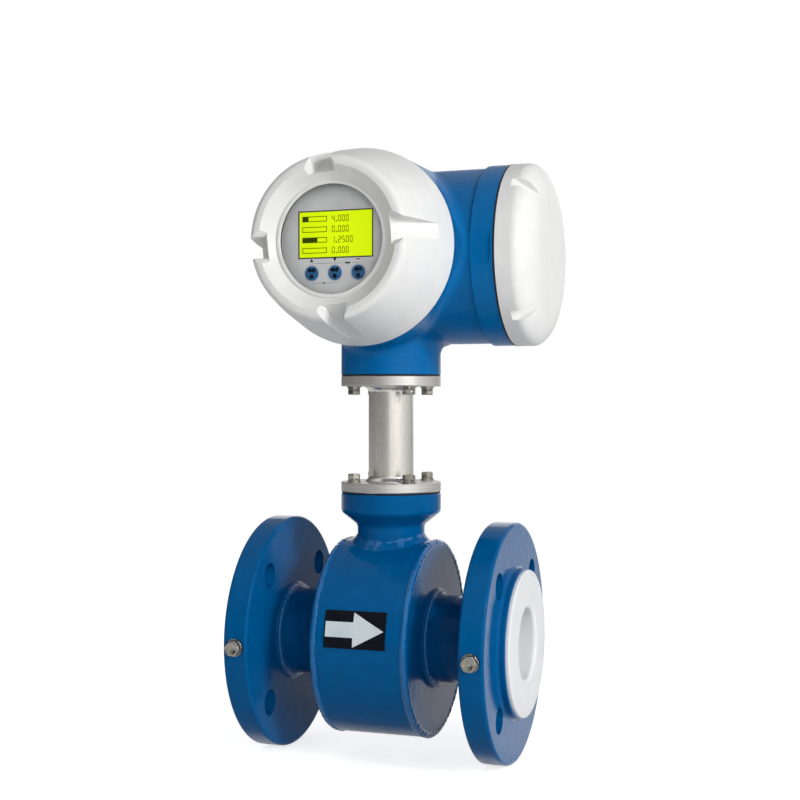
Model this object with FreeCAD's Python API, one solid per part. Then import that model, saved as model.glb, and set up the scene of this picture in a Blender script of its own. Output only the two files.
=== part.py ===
import FreeCAD, Part
import math
import os

# Flanged electromagnetic flow meter, DN50, with a two-chamber converter on a stainless neck.
#
# Frame, millimetres: origin on the pipe axis below the neck, +X along the flow, the display
# looks to -Y, +Z up through the neck. Every sub-part goes to parts/NODE.step.
#
# A turned piece is drawn as an (r, z) outline and revolved about its own z axis, then placed
# with one of the four axes below. A third value at a corner rounds it with that radius.

# Measuring tube and flanges: DN50, PN16.
FACE_TO_FACE = 200.0
PIPE_R = 30.15
PIPE_WALL = 2.9
LINER_WALL = 2.65
LINER_FLARE = 3.0
LINER_FLARE_R = 50.3
LINER_ENTRY_R = 2.5
FLANGE_R = 82.5
FLANGE_THICKNESS = 17.5
RAISED_FACE_R = 51.3
RAISED_FACE = 5.5
BOLT_CIRCLE_R = 62.5
BOLT_HOLE_R = 9.0
WELD_LEG = 5.0

# Coil housing and what it holds.
DRUM_R = 68.3
DRUM_HALF = 34.0
DRUM_WALL = 3.0
DRUM_END_WALL = 4.0
ELECTRODE_R = 4.0
ELECTRODE_SINK = 0.1
CORE_R = 10.0
COIL_R = 21.0
SHOE_R = 33.65
YOKE_R = 63.0
YOKE = 3.5
YOKE_HALF = 18.0

# Neck, from the coil housing up to the converter.
NECK_SOCKET_R = 23.8
NECK_FLANGE_R = 35.3
NECK_BORE_R = 12.0
SOCKET_CONE_Z = 79.0
SOCKET_RIM_Z = 88.2
SOCKET_TOP_Z = 101.6
GASKET = 1.0
LOWER_FLANGE_TOP_Z = 109.4
UPPER_FLANGE_Z = 176.7
UPPER_FLANGE_TOP_Z = 184.0
NECK_TUBE_R = 15.9
NECK_TUBE_WALL = 2.0
NECK_SCREW_CIRCLE_R = 28.7
SCREW_R = 2.45
TAPPED_R = 2.5
SCREW_CLEARANCE_R = 2.8
SCREW_HEAD_ACROSS = 8.0
SCREW_HEAD = 4.0
PLAIN_WASHER = 0.8
SPRING_WASHER = 1.2

# Converter housing. Depths of the display chamber are counted along -Y.
DISPLAY_Z = 269.2
DISPLAY_DRUM_R = 66.0
DISPLAY_DRUM_FRONT = 60.8
DISPLAY_DRUM_BACK = 62.0
DISPLAY_BACK_ROUND = 3.0
DISPLAY_SPIGOT_R = 58.5
DISPLAY_SPIGOT_FRONT = 74.8
DISPLAY_BORE_R = 54.0
HOUSING_WALL = 6.0
TERMINAL_Z = 266.4
TERMINAL_DRUM_R = 60.3
TERMINAL_COLLAR_R = 61.9
TERMINAL_COLLAR_X = 75.4
TERMINAL_FACE_X = 91.8
TERMINAL_SPIGOT_R = 54.5
TERMINAL_SPIGOT_X = 100.0
TERMINAL_BORE_R = 50.0
TERMINAL_FLOOR_X = 62.0
BLEND_R = 8.0

# Screw covers, with the running gap of their threads.
THREAD_GAP = 0.3
SEAL_GAP = 0.1
SEAL = 0.9
COVER_BASE_R = 66.3
COVER_BEND = (58.4, 99.0)
COVER_CREST = (52.4, 121.7)
COVER_SLOTS = 4
COVER_SLOT_TURN = 5.5
SLOT_WIDTH = 13.0
WINDOW_R = 35.1
GLASS_R = 42.0
GLASS = 4.5
GLASS_FRONT = 112.2
CAP_R = 62.2
CAP_SHOULDER_X = 102.9
CAP_CROWN_R = 30.8
CAP_CROWN_X = 117.6
CAP_SLOT_WIDTH = 10.0

# Display unit behind the window and the boards behind it, as depths along -Y.
PANEL_R = 37.2
PANEL_FRONT = 106.0
PANEL = 2.5
LCD_WIDTH = 50.4
LCD_HEIGHT = 29.6
LCD_CENTRE = (0.4, 3.9)
KEY_PITCH = 16.0
KEY_DROP = 20.9
KEY_R = 4.6
CASE_BACK = 86.0
MAIN_BOARD = 46.0
POWER_BOARD = 18.0
BOARD_R = 50.0
BOARD = 1.6
POST_R = 3.0
POST_CIRCLE_R = 40.0
LEAD_R = 3.5
LEAD_PLUG = 6.0
LEAD_PLUG_Y = -34.0

# Terminal chamber and cable glands.
TERMINAL_PLATE = 3.0
PLATE_SCREW_R = 1.6
PLATE_SCREW_CIRCLE_R = 42.0
TERMINAL_COUNT = 9
TERMINAL_PITCH = 7.5
GLAND_X = 74.0
GLAND_SPREAD = 18.0
GLAND_SEAT_Y = 63.5
GLAND_BOSS_R = 14.5
GLAND_THREAD_R = 9.9
GLAND_ACROSS = 24.0
CABLE_R = 5.5
SEAL_NOSE_R = 6.1
SEAL_R = 7.9

# Flow arrow and earth screws.
ARROW_PLATE = (43.5, 24.6)
ARROW_CENTRE = (-1.8, 13.8)
ARROW_SKIN = 0.6
EARTH_SEAT_Y = 82.1

V = FreeCAD.Vector
UPRIGHT = FreeCAD.Rotation()
TO_X = FreeCAD.Rotation(V(0, 1, 0), V(0, 0, 1), V(1, 0, 0), "ZXY")
TO_FRONT = FreeCAD.Rotation(V(1, 0, 0), 90)
TO_REAR = FreeCAD.Rotation(V(1, 0, 0), -90)
PIPE_AXIS = FreeCAD.Placement(V(0, 0, 0), TO_X)
NECK_AXIS = FreeCAD.Placement(V(0, 0, 0), UPRIGHT)
DISPLAY_AXIS = FreeCAD.Placement(V(0, 0, DISPLAY_Z), TO_FRONT)
TERMINAL_AXIS = FreeCAD.Placement(V(0, 0, TERMINAL_Z), TO_X)


def in_xz(u, v):
    """Point of a turned outline."""
    return V(u, 0, v)


def in_xy(u, v):
    """Point of a flat outline."""
    return V(u, v, 0)


def outline(corners, point):
    """Closed wire through the corners, each a pair or a pair and a rounding radius."""
    flat = [point(corner[0], corner[1]) for corner in corners]
    edges = []
    ends = []
    for index, corner in enumerate(corners):
        here = flat[index]
        radius = corner[2] if len(corner) == 3 else 0.0
        if radius == 0.0:
            ends.append((here, here))
            continue
        before = (flat[index - 1] - here).normalize()
        after = (flat[(index + 1) % len(flat)] - here).normalize()
        half = before.getAngle(after) / 2.0
        reach = radius / math.tan(half)
        inwards = (before + after).normalize()
        nearest = here + inwards * (radius / math.sin(half) - radius)
        ends.append((here + before * reach, here + after * reach))
        edges.append(Part.Arc(ends[-1][0], nearest, ends[-1][1]).toShape())
    for index in range(len(ends)):
        start = ends[index - 1][1]
        stop = ends[index][0]
        if start.distanceToPoint(stop) > 1e-6:
            edges.append(Part.makeLine(start, stop))
    return Part.Wire(Part.__sortEdges__(edges))


def turned(corners):
    """Solid of revolution about z from an (r, z) outline."""
    return Part.Face(outline(corners, in_xz)).revolve(V(0, 0, 0), V(0, 0, 1), 360)


def prism(corners, low, high):
    """Flat (x, y) outline raised from z = low to z = high."""
    face = Part.Face(outline(corners, in_xy))
    face.translate(V(0, 0, low))
    return face.extrude(V(0, 0, high - low))


def rod(radius, low, high, x=0.0, y=0.0):
    """Cylinder along z at (x, y)."""
    return Part.makeCylinder(radius, high - low, V(x, y, low))


def tube(inner, outer, low, high):
    """Plain ring along z."""
    return turned([(inner, low), (outer, low), (outer, high), (inner, high)])


def bar(x0, x1, y0, y1, z0, z1):
    """Box between two corners."""
    return Part.makeBox(x1 - x0, y1 - y0, z1 - z0, V(x0, y0, z0))


def moved(shape, x=0.0, y=0.0, z=0.0):
    """Copy shifted along the axes."""
    copy = shape.copy()
    copy.translate(V(x, y, z))
    return copy


def placed(shape, frame):
    """Copy carried from its own axis to a place on the meter."""
    copy = shape.copy()
    copy.Placement = frame.multiply(copy.Placement)
    return copy


def on_circle(shape, radius, count, start=45.0):
    """Copies of a shape, spaced evenly on a circle about z."""
    copies = []
    for step in range(count):
        copy = moved(shape, x=radius)
        copy.rotate(V(0, 0, 0), V(0, 0, 1), start + 360.0 / count * step)
        copies.append(copy)
    return copies


def hex_corners(across):
    """Corners of a regular hexagon with the given width across its flats."""
    radius = across / math.sqrt(3.0)
    turns = [math.radians(60.0 * step) for step in range(6)]
    return [(radius * math.cos(turn), radius * math.sin(turn)) for turn in turns]


def hex_head(across, height):
    """Hexagon head with its top corners turned off at 30 degrees."""
    corner_r = across / math.sqrt(3.0)
    drop = (corner_r - across / 2.0 * 0.95) * math.tan(math.radians(30.0))
    turned_blank = turned([(0, 0), (corner_r, 0), (corner_r, height - drop),
                           (across / 2.0 * 0.95, height), (0, height)])
    return prism(hex_corners(across), 0.0, height).common(turned_blank)


def hex_screw(across, head, shank_r, length):
    """Hexagon screw, head above z = 0 and shank below it."""
    shank = turned([(0, -length), (shank_r, -length, 0.4), (shank_r, 0), (0, 0)])
    return hex_head(across, head).fuse(shank).removeSplitter()


def slotted_screw(shank_r, length):
    """Slotted pan-head screw, head above z = 0 and shank below it."""
    head_r = shank_r * 2.3
    head = shank_r * 1.3
    blank = turned([(0, -length), (shank_r, -length), (shank_r, 0), (head_r, 0),
                    (head_r, head, head * 0.6), (0, head)])
    return blank.cut(bar(-head_r - 1, head_r + 1, -0.4, 0.4, head * 0.5, head + 1))


def spring_washer(inner, outer, thickness):
    """Split ring, cut through by a narrow slanting slit."""
    slit = bar(inner - 1, outer + 1, -0.5, 0.5, -thickness, 2 * thickness)
    slit.rotate(V(0, 0, thickness / 2), V(1, 0, 0), 25)
    return tube(inner, outer, 0.0, thickness).cut(slit)


def save(name, *solids):
    """Write one sub-part: a solid, or a group of like solids that share the node."""
    whole = solids[0] if len(solids) == 1 else Part.makeCompound(list(solids))
    whole.exportStep(f"parts/{name}.step")


# ---------------------------------------------------------------- measuring tube

def flange():
    """Outlet flange with raised face, four bolt holes and the fillet weld at its back."""
    face_x = FACE_TO_FACE / 2.0 - LINER_FLARE - RAISED_FACE
    back_x = face_x - FLANGE_THICKNESS
    weld_r = PIPE_R + WELD_LEG
    blank = turned([(PIPE_R, back_x - WELD_LEG), (PIPE_R + 0.8, back_x - WELD_LEG, 0.5),
                    (weld_r, back_x - 0.8, 1.0), (weld_r, back_x),
                    (FLANGE_R, back_x, 2.0), (FLANGE_R, face_x, 2.0),
                    (RAISED_FACE_R, face_x, 2.0), (RAISED_FACE_R, face_x + RAISED_FACE, 1.0),
                    (PIPE_R, face_x + RAISED_FACE)])
    holes = on_circle(rod(BOLT_HOLE_R, back_x - 1, face_x + 1), BOLT_CIRCLE_R, 4)
    drilled = placed(blank.cut(holes), PIPE_AXIS)
    middle_x = (back_x + face_x) / 2.0
    seat = FreeCAD.Placement(V(middle_x, -EARTH_SEAT_Y, 0), TO_FRONT)
    spot = rod(6.6, 0.0, 5.0).fuse(rod(TAPPED_R, -14.0, 1.0))
    return drilled.cut(placed(spot, seat))


def at_inlet(shape):
    """Mirror image of an outlet piece, at the inlet end."""
    return shape.mirror(V(0, 0, 0), V(1, 0, 0))


def measuring_tube():
    """Non-magnetic tube between the raised faces, pierced for the two electrodes."""
    half = FACE_TO_FACE / 2.0 - LINER_FLARE
    blank = placed(tube(PIPE_R - PIPE_WALL, PIPE_R, -half, half), PIPE_AXIS)
    across = rod(ELECTRODE_R + 1.2, -PIPE_R - 1, PIPE_R + 1)
    across.rotate(V(0, 0, 0), V(1, 0, 0), 90)
    return blank.cut(across)


def pipe_liner():
    """PTFE liner: a sleeve in the tube, flared out over both raised faces."""
    end = FACE_TO_FACE / 2.0
    inner = PIPE_R - PIPE_WALL - LINER_WALL
    outer = PIPE_R - PIPE_WALL
    seat = end - LINER_FLARE
    sleeve = placed(turned([(inner, -end, LINER_ENTRY_R), (LINER_FLARE_R, -end, 1.2),
                            (LINER_FLARE_R, -seat), (outer, -seat), (outer, seat),
                            (LINER_FLARE_R, seat), (LINER_FLARE_R, end, 1.2),
                            (inner, end, LINER_ENTRY_R)]), PIPE_AXIS)
    across = rod(ELECTRODE_R, -PIPE_R, PIPE_R)
    across.rotate(V(0, 0, 0), V(1, 0, 0), 90)
    return sleeve.cut(across)


def electrode():
    """Front electrode: its flat head lies flush in the liner, its stud leaves through the tube."""
    face = PIPE_R - PIPE_WALL - LINER_WALL + ELECTRODE_SINK
    head_end = PIPE_R - PIPE_WALL
    blank = turned([(0, face), (ELECTRODE_R, face), (ELECTRODE_R, head_end),
                    (2.0, head_end), (2.0, PIPE_R + 14, 0.4), (0, PIPE_R + 14)])
    return placed(blank, FreeCAD.Placement(V(), TO_FRONT))


def electrode_insulator():
    """Bush in the tube wall, with a saddle shoulder, that keeps the stud off the metal."""
    low = PIPE_R - PIPE_WALL + 0.6
    front = FreeCAD.Placement(V(), TO_FRONT)
    shoulder = placed(rod(8.0, PIPE_R - 5, PIPE_R + 5), front)
    saddle = shoulder.cut(placed(rod(PIPE_R, -20, 20), PIPE_AXIS))
    bush = placed(rod(ELECTRODE_R + 1.2, low, PIPE_R + 2), front)
    return saddle.fuse(bush).cut(placed(rod(2.0, low - 1, PIPE_R + 6), front))


def electrode_nut():
    """Nut that draws the electrode head against the liner."""
    nut = moved(hex_head(7.0, 3.2), z=PIPE_R + 5).cut(rod(2.0, PIPE_R, PIPE_R + 12))
    return placed(nut, FreeCAD.Placement(V(), TO_FRONT))


def both_sides(shape):
    """A piece on the front of the tube, and the same piece turned half round to the back."""
    copy = shape.copy()
    copy.rotate(V(0, 0, 0), V(0, 0, 1), 180)
    return shape, copy


# ---------------------------------------------------------------- coil housing

def drum_outline():
    """Outer skin of the coil housing, with its fillet welds on the tube."""
    weld_r = PIPE_R + WELD_LEG
    weld_x = DRUM_HALF + WELD_LEG
    inner_x = DRUM_HALF - DRUM_END_WALL
    inner_r = DRUM_R - DRUM_WALL
    return [(PIPE_R, weld_x), (PIPE_R + 0.8, weld_x, 0.5), (weld_r, DRUM_HALF + 0.8, 1.0),
            (weld_r, DRUM_HALF), (DRUM_R, DRUM_HALF, 2.5), (DRUM_R, -DRUM_HALF, 2.5),
            (weld_r, -DRUM_HALF), (weld_r, -DRUM_HALF - 0.8, 1.0),
            (PIPE_R + 0.8, -weld_x, 0.5), (PIPE_R, -weld_x), (PIPE_R, -inner_x),
            (inner_r, -inner_x), (inner_r, inner_x), (PIPE_R, inner_x)]


def coil_housing():
    """Welded drum round the tube, open to the neck above."""
    return placed(turned(drum_outline()), PIPE_AXIS).cut(rod(NECK_BORE_R, 50, DRUM_R + 5))


def housing_neck():
    """Turned socket on the drum: saddle foot with its weld, cone, and a drilled rim."""
    blank = turned([(NECK_BORE_R, 55), (NECK_SOCKET_R, 55), (NECK_SOCKET_R, SOCKET_CONE_Z, 5.0),
                    (NECK_FLANGE_R, SOCKET_RIM_Z, 4.0), (NECK_FLANGE_R, SOCKET_TOP_Z, 1.2),
                    (NECK_BORE_R, SOCKET_TOP_Z)])
    drum = placed(rod(DRUM_R, -DRUM_HALF, DRUM_HALF), PIPE_AXIS)
    foot = blank.fuse(drum)
    saddle = [edge for edge in foot.Edges if on_saddle(edge)]
    welded = foot.makeChamfer(WELD_LEG - 1.0, saddle)
    holes = on_circle(rod(TAPPED_R, SOCKET_TOP_Z - 12, SOCKET_TOP_Z + 1), NECK_SCREW_CIRCLE_R, 4)
    return welded.cut(drum).cut([rod(NECK_BORE_R, 50, SOCKET_TOP_Z)] + holes)


def on_saddle(edge):
    """True for the curve where the neck socket meets the drum from outside."""
    point = edge.valueAt((edge.FirstParameter + edge.LastParameter) / 2.0)
    off_neck = abs(math.hypot(point.x, point.y) - NECK_SOCKET_R)
    off_drum = abs(math.hypot(point.y, point.z) - DRUM_R)
    return off_neck < 0.01 and off_drum < 0.01 and point.z > 0


def pole_piece():
    """Upper pole: a shoe bent round the tube and a round core that reaches the yoke."""
    core = rod(CORE_R, SHOE_R - 0.5, YOKE_R).common(placed(rod(YOKE_R - YOKE, -20, 20), PIPE_AXIS))
    shoe = placed(tube(PIPE_R, SHOE_R, -20, 20), PIPE_AXIS)
    return shoe.common(bar(-20, 20, -25, 25, 15, 60)).fuse(core)


def coil_winding():
    """Upper excitation coil round its core, standing on the shoe."""
    top = YOKE_R - YOKE - 4.0
    return turned([(CORE_R, SHOE_R), (COIL_R, SHOE_R, 1.5), (COIL_R, top, 1.5), (CORE_R, top)])


def return_yoke():
    """Soft-iron band that closes the magnetic circuit round both coils."""
    return placed(tube(YOKE_R - YOKE, YOKE_R, -YOKE_HALF, YOKE_HALF), PIPE_AXIS)


def below(shape):
    """The same piece turned half round the pipe, under the tube."""
    copy = shape.copy()
    copy.rotate(V(0, 0, 0), V(1, 0, 0), 180)
    return copy


# ---------------------------------------------------------------- neck

def neck_gasket(low):
    """Flat gasket with the four screw holes."""
    ring = turned([(NECK_BORE_R + 2, low), (NECK_FLANGE_R - 0.4, low),
                   (NECK_FLANGE_R - 0.4, low + GASKET), (NECK_BORE_R + 2, low + GASKET)])
    return ring.cut(on_circle(rod(SCREW_CLEARANCE_R, low - 1, low + 3), NECK_SCREW_CIRCLE_R, 4))


def neck_flange(low, high):
    """Stainless ring at one end of the neck tube."""
    ring = turned([(NECK_TUBE_R, low), (NECK_FLANGE_R, low, 0.6), (NECK_FLANGE_R, high, 0.6),
                   (NECK_TUBE_R, high)])
    holes = on_circle(rod(SCREW_CLEARANCE_R, low - 1, high + 1), NECK_SCREW_CIRCLE_R, 4)
    return ring.cut(holes)


def neck_tube():
    """Stainless tube through both neck flanges, with its two fillet welds."""
    inner = NECK_TUBE_R - NECK_TUBE_WALL
    bead = 2.4
    low = LOWER_FLANGE_TOP_Z
    high = UPPER_FLANGE_Z
    return turned([(inner, SOCKET_TOP_Z + GASKET), (NECK_TUBE_R, SOCKET_TOP_Z + GASKET),
                   (NECK_TUBE_R, low), (NECK_TUBE_R + bead, low),
                   (NECK_TUBE_R + bead, low + 0.5, 0.4), (NECK_TUBE_R, low + bead + 0.5, 2.0),
                   (NECK_TUBE_R, high - bead - 0.5, 2.0), (NECK_TUBE_R + bead, high - 0.5, 0.4),
                   (NECK_TUBE_R + bead, high), (NECK_TUBE_R, high),
                   (NECK_TUBE_R, UPPER_FLANGE_TOP_Z), (inner, UPPER_FLANGE_TOP_Z)])


def neck_fasteners():
    """One screw, spring washer and plain washer, standing on z = 0."""
    stack = PLAIN_WASHER + SPRING_WASHER
    screw = moved(hex_screw(SCREW_HEAD_ACROSS, SCREW_HEAD, SCREW_R, stack + 17.0), z=stack)
    spring = moved(spring_washer(SCREW_R + 0.2, 4.2, SPRING_WASHER), z=PLAIN_WASHER)
    plain = tube(SCREW_R + 0.2, 5.0, 0.0, PLAIN_WASHER)
    return {"screws": screw, "spring_washers": spring, "plain_washers": plain}


def save_neck_fasteners():
    """Four sets stand on the lower neck flange and four hang under the upper one."""
    for part, piece in neck_fasteners().items():
        standing = moved(piece, z=LOWER_FLANGE_TOP_Z)
        hanging = piece.copy()
        hanging.rotate(V(0, 0, 0), V(1, 0, 0), 180)
        hanging.translate(V(0, 0, UPPER_FLANGE_Z))
        save(f"lower_neck_{part}", *on_circle(standing, NECK_SCREW_CIRCLE_R, 4))
        save(f"upper_neck_{part}", *on_circle(hanging, NECK_SCREW_CIRCLE_R, 4))


def lead_bundle():
    """Sleeved leads of coils and electrodes, up the neck and round to the power board."""
    bend_r = POWER_BOARD - LEAD_PLUG
    bend_z = DISPLAY_Z + LEAD_PLUG_Y - bend_r
    section = Part.Face(Part.Wire(Part.makeCircle(LEAD_R, V(0, 0, bend_z), V(0, 0, 1))))
    elbow = section.revolve(V(0, -bend_r, bend_z), V(1, 0, 0), 90)
    return rod(LEAD_R, YOKE_R, bend_z).fuse(elbow).removeSplitter()


# ---------------------------------------------------------------- converter housing

def display_drum():
    """Round chamber that faces the reader, longer than its two faces until they are cut."""
    over = 2 * BLEND_R
    return placed(rod(DISPLAY_DRUM_R, -DISPLAY_DRUM_BACK - over, DISPLAY_DRUM_FRONT + over),
                  DISPLAY_AXIS)


def terminal_drum():
    """Side chamber with the thicker collar that carries its cover."""
    return placed(turned([(0, 0), (TERMINAL_DRUM_R, 0), (TERMINAL_DRUM_R, TERMINAL_COLLAR_X),
                          (TERMINAL_COLLAR_R, TERMINAL_COLLAR_X + 1.2),
                          (TERMINAL_COLLAR_R, TERMINAL_FACE_X), (0, TERMINAL_FACE_X)]),
                  TERMINAL_AXIS)


def gland_frames():
    """Seats of the two cable glands, at the rear of the terminal chamber."""
    return [FreeCAD.Placement(V(GLAND_X, GLAND_SEAT_Y, TERMINAL_Z + side * GLAND_SPREAD), TO_REAR)
            for side in (-1, 1)]


def converter_casting():
    """Outer form: both drums and the neck boss run into each other with cast blends."""
    boss = rod(NECK_FLANGE_R, UPPER_FLANGE_TOP_Z + GASKET, DISPLAY_Z)
    body = display_drum().fuse([terminal_drum(), boss]).removeSplitter()
    blends = [edge for edge in body.Edges if is_blend(edge)]
    blended = body.makeFillet(BLEND_R, blends)
    over = 3 * BLEND_R
    facing_cuts = [rod(DISPLAY_DRUM_R + over, low, low + over)
                   for low in (DISPLAY_DRUM_FRONT, -DISPLAY_DRUM_BACK - over)]
    faced = blended.cut([placed(cut, DISPLAY_AXIS) for cut in facing_cuts])
    rear_rim = [edge for edge in faced.Edges if is_rear_rim(edge)]
    return faced.makeFillet(DISPLAY_BACK_ROUND, rear_rim)


def is_rear_rim(edge):
    """True for an edge around the flat back of the display chamber."""
    ends = [vertex.Point for vertex in edge.Vertexes] + [edge.CenterOfMass]
    return all(abs(point.y - DISPLAY_DRUM_BACK) < 0.01 for point in ends)


def is_blend(edge):
    """True for an edge that lies on two of the three cylinders of the casting."""
    point = edge.valueAt((edge.FirstParameter + edge.LastParameter) / 2.0)
    on_display = abs(math.hypot(point.x, point.z - DISPLAY_Z) - DISPLAY_DRUM_R) < 0.01
    on_terminal = abs(math.hypot(point.y, point.z - TERMINAL_Z) - TERMINAL_DRUM_R) < 0.01
    on_boss = abs(math.hypot(point.x, point.y) - NECK_FLANGE_R) < 0.01
    inside = point.z < UPPER_FLANGE_TOP_Z + GASKET + 1
    return on_display + on_terminal + on_boss == 2 and not inside


def converter_hollows():
    """Both chambers, the ducts between them and the drilled seats."""
    display = rod(DISPLAY_BORE_R, HOUSING_WALL - DISPLAY_DRUM_BACK, DISPLAY_SPIGOT_FRONT + 1)
    terminal = rod(TERMINAL_BORE_R, TERMINAL_FLOOR_X, TERMINAL_SPIGOT_X + 1)
    duct = rod(5.0, 45, TERMINAL_FLOOR_X + 1, x=20.0, y=-24.0)
    neck_duct = rod(NECK_BORE_R - 1, UPPER_FLANGE_TOP_Z, DISPLAY_Z - DISPLAY_BORE_R + 4)
    low = UPPER_FLANGE_TOP_Z + GASKET
    screws = on_circle(rod(TAPPED_R, low - 1, low + 13), NECK_SCREW_CIRCLE_R, 4)
    taps = on_circle(rod(PLATE_SCREW_R, TERMINAL_FLOOR_X - 5, TERMINAL_FLOOR_X + 1),
                     PLATE_SCREW_CIRCLE_R, 4)
    glands = [placed(rod(GLAND_THREAD_R + 0.05, -25, 1), frame) for frame in gland_frames()]
    return [placed(display, DISPLAY_AXIS), placed(terminal, TERMINAL_AXIS),
            placed(duct, TERMINAL_AXIS), neck_duct] + screws + glands + [
            placed(tap, TERMINAL_AXIS) for tap in taps]


def converter_housing():
    """Cast housing with a threaded spigot at each cover and two gland bosses."""
    spigots = [placed(rod(DISPLAY_SPIGOT_R, 0, DISPLAY_SPIGOT_FRONT), DISPLAY_AXIS),
               placed(rod(TERMINAL_SPIGOT_R, TERMINAL_FLOOR_X, TERMINAL_SPIGOT_X), TERMINAL_AXIS)]
    bosses = [placed(turned([(0, -20), (GLAND_BOSS_R, -20), (GLAND_BOSS_R, 0, 1.0), (0, 0)]), frame)
              for frame in gland_frames()]
    return converter_casting().fuse(spigots + bosses).cut(converter_hollows())


# ---------------------------------------------------------------- display unit

def display_panel():
    """Round face plate with the display window and three holes for the keys."""
    plate = rod(PANEL_R, PANEL_FRONT - PANEL, PANEL_FRONT)
    x, y = LCD_CENTRE
    half_w = LCD_WIDTH / 2.0
    half_h = LCD_HEIGHT / 2.0
    window = bar(x - half_w, x + half_w, y - half_h, y + half_h,
                 PANEL_FRONT - PANEL - 1, PANEL_FRONT + 1)
    holes = [rod(KEY_R + 0.1, PANEL_FRONT - 5, PANEL_FRONT + 1, key * KEY_PITCH, -KEY_DROP)
             for key in (-1, 0, 1)]
    return placed(plate.cut([window] + holes), DISPLAY_AXIS)


def lcd_module():
    """Liquid crystal display on its carrier, just behind the window of the panel."""
    x, y = LCD_CENTRE
    glass = bar(x - 27, x + 27, y - 16.5, y + 16.5, PANEL_FRONT - 6.5, PANEL_FRONT - PANEL)
    pane = bar(x - LCD_WIDTH / 2 + 0.1, x + LCD_WIDTH / 2 - 0.1, y - LCD_HEIGHT / 2 + 0.1,
               y + LCD_HEIGHT / 2 - 0.1, PANEL_FRONT - PANEL, PANEL_FRONT - 0.8)
    return placed(glass.fuse(pane), DISPLAY_AXIS)


def optical_key():
    """Lens over the emitter and the receiver of one optical key, flanged behind the panel."""
    back = PANEL_FRONT - PANEL
    return turned([(0, back - 2), (KEY_R + 1, back - 2), (KEY_R + 1, back), (KEY_R, back),
                   (KEY_R, PANEL_FRONT + 0.2), (0, PANEL_FRONT + 0.2)])


def optical_keys():
    """Three keys in a row under the display."""
    return [placed(moved(optical_key(), key * KEY_PITCH, -KEY_DROP), DISPLAY_AXIS)
            for key in (-1, 0, 1)]


def display_case():
    """Shallow round cup that carries the panel and the display."""
    front = PANEL_FRONT - PANEL
    cup = turned([(0, CASE_BACK), (PANEL_R, CASE_BACK, 2.0), (PANEL_R, front),
                  (PANEL_R - 2, front), (PANEL_R - 2, CASE_BACK + 2), (0, CASE_BACK + 2)])
    return placed(cup, DISPLAY_AXIS)


def board(depth, hole_r):
    """Round circuit board with four holes."""
    disc = rod(BOARD_R, depth, depth + BOARD)
    return disc.cut(on_circle(rod(hole_r, depth - 1, depth + 3), POST_CIRCLE_R, 4))


def main_board():
    """Measuring board with its processor, connector and capacitors."""
    top = MAIN_BOARD + BOARD
    chips = [bar(-9, 9, -9, 9, top, top + 2.2), bar(-16, 16, 24, 31, top, top + 5.5),
             bar(14, 24, -18, -8, top, top + 3.0)]
    return placed(board(MAIN_BOARD, 1.6).fuse(chips), DISPLAY_AXIS)


def power_board():
    """Supply board with transformer, reservoir capacitors and the lead plug at its back."""
    top = POWER_BOARD + BOARD
    plug = bar(-9, 9, LEAD_PLUG_Y - 5, LEAD_PLUG_Y + 5, POWER_BOARD - LEAD_PLUG, POWER_BOARD)
    parts = [bar(-18, 12, -4, 24, top, top + 18), rod(7.0, top, top + 16, 24, 6),
             rod(7.0, top, top + 16, 24, -12), plug]
    return placed(board(POWER_BOARD, POST_R + 0.2).fuse(parts), DISPLAY_AXIS)


def board_posts():
    """Four pillars from the rear wall through the power board to the main board."""
    pillar = rod(POST_R, HOUSING_WALL - DISPLAY_DRUM_BACK, MAIN_BOARD)
    tapped = pillar.cut(rod(1.55, MAIN_BOARD - 7, MAIN_BOARD + 1))
    return [placed(post, DISPLAY_AXIS) for post in on_circle(tapped, POST_CIRCLE_R, 4)]


def display_posts():
    """Four slim pillars that carry the display case on the main board."""
    pillar = rod(POST_R, MAIN_BOARD + BOARD, CASE_BACK)
    return [placed(post, DISPLAY_AXIS) for post in on_circle(pillar, 32.0, 4)]


def board_screws():
    """Slotted screws that hold the main board on its pillars."""
    screw = moved(slotted_screw(1.5, 7.0), z=MAIN_BOARD + BOARD)
    return [placed(copy, DISPLAY_AXIS) for copy in on_circle(screw, POST_CIRCLE_R, 4)]


# ---------------------------------------------------------------- terminal chamber

def terminal_plate():
    """Insulating floor plate of the terminal chamber, with the duct for the leads."""
    disc = rod(TERMINAL_BORE_R - 0.4, TERMINAL_FLOOR_X, TERMINAL_FLOOR_X + TERMINAL_PLATE)
    duct = rod(5.0, TERMINAL_FLOOR_X - 1, TERMINAL_FLOOR_X + 5, x=20.0, y=-24.0)
    holes = on_circle(rod(PLATE_SCREW_R + 0.2, TERMINAL_FLOOR_X - 1, TERMINAL_FLOOR_X + 5),
                      PLATE_SCREW_CIRCLE_R, 4)
    return placed(disc.cut([duct] + holes), TERMINAL_AXIS)


def terminal_ys():
    """Places of the screw terminals along the block."""
    return [(step - (TERMINAL_COUNT - 1) / 2.0) * TERMINAL_PITCH for step in range(TERMINAL_COUNT)]


def terminal_block():
    """Row of screw terminals: a well for each screw, a mouth for each wire, ribs between."""
    low = TERMINAL_FLOOR_X + TERMINAL_PLATE
    half = TERMINAL_COUNT * TERMINAL_PITCH / 2.0
    block = bar(-half - 2, half + 2, -9, 9, low, low + 14)
    shelf = bar(-half - 3, half + 3, 3.5, 10, low + 8, low + 15)
    mouths = [bar(y - 2.6, y + 2.6, -10, -5, low + 3, low + 9) for y in terminal_ys()]
    wells = [rod(2.9, low + 6, low + 15, y, -2.0) for y in terminal_ys()]
    return placed(block.cut([shelf] + mouths + wells), TERMINAL_AXIS)


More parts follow.
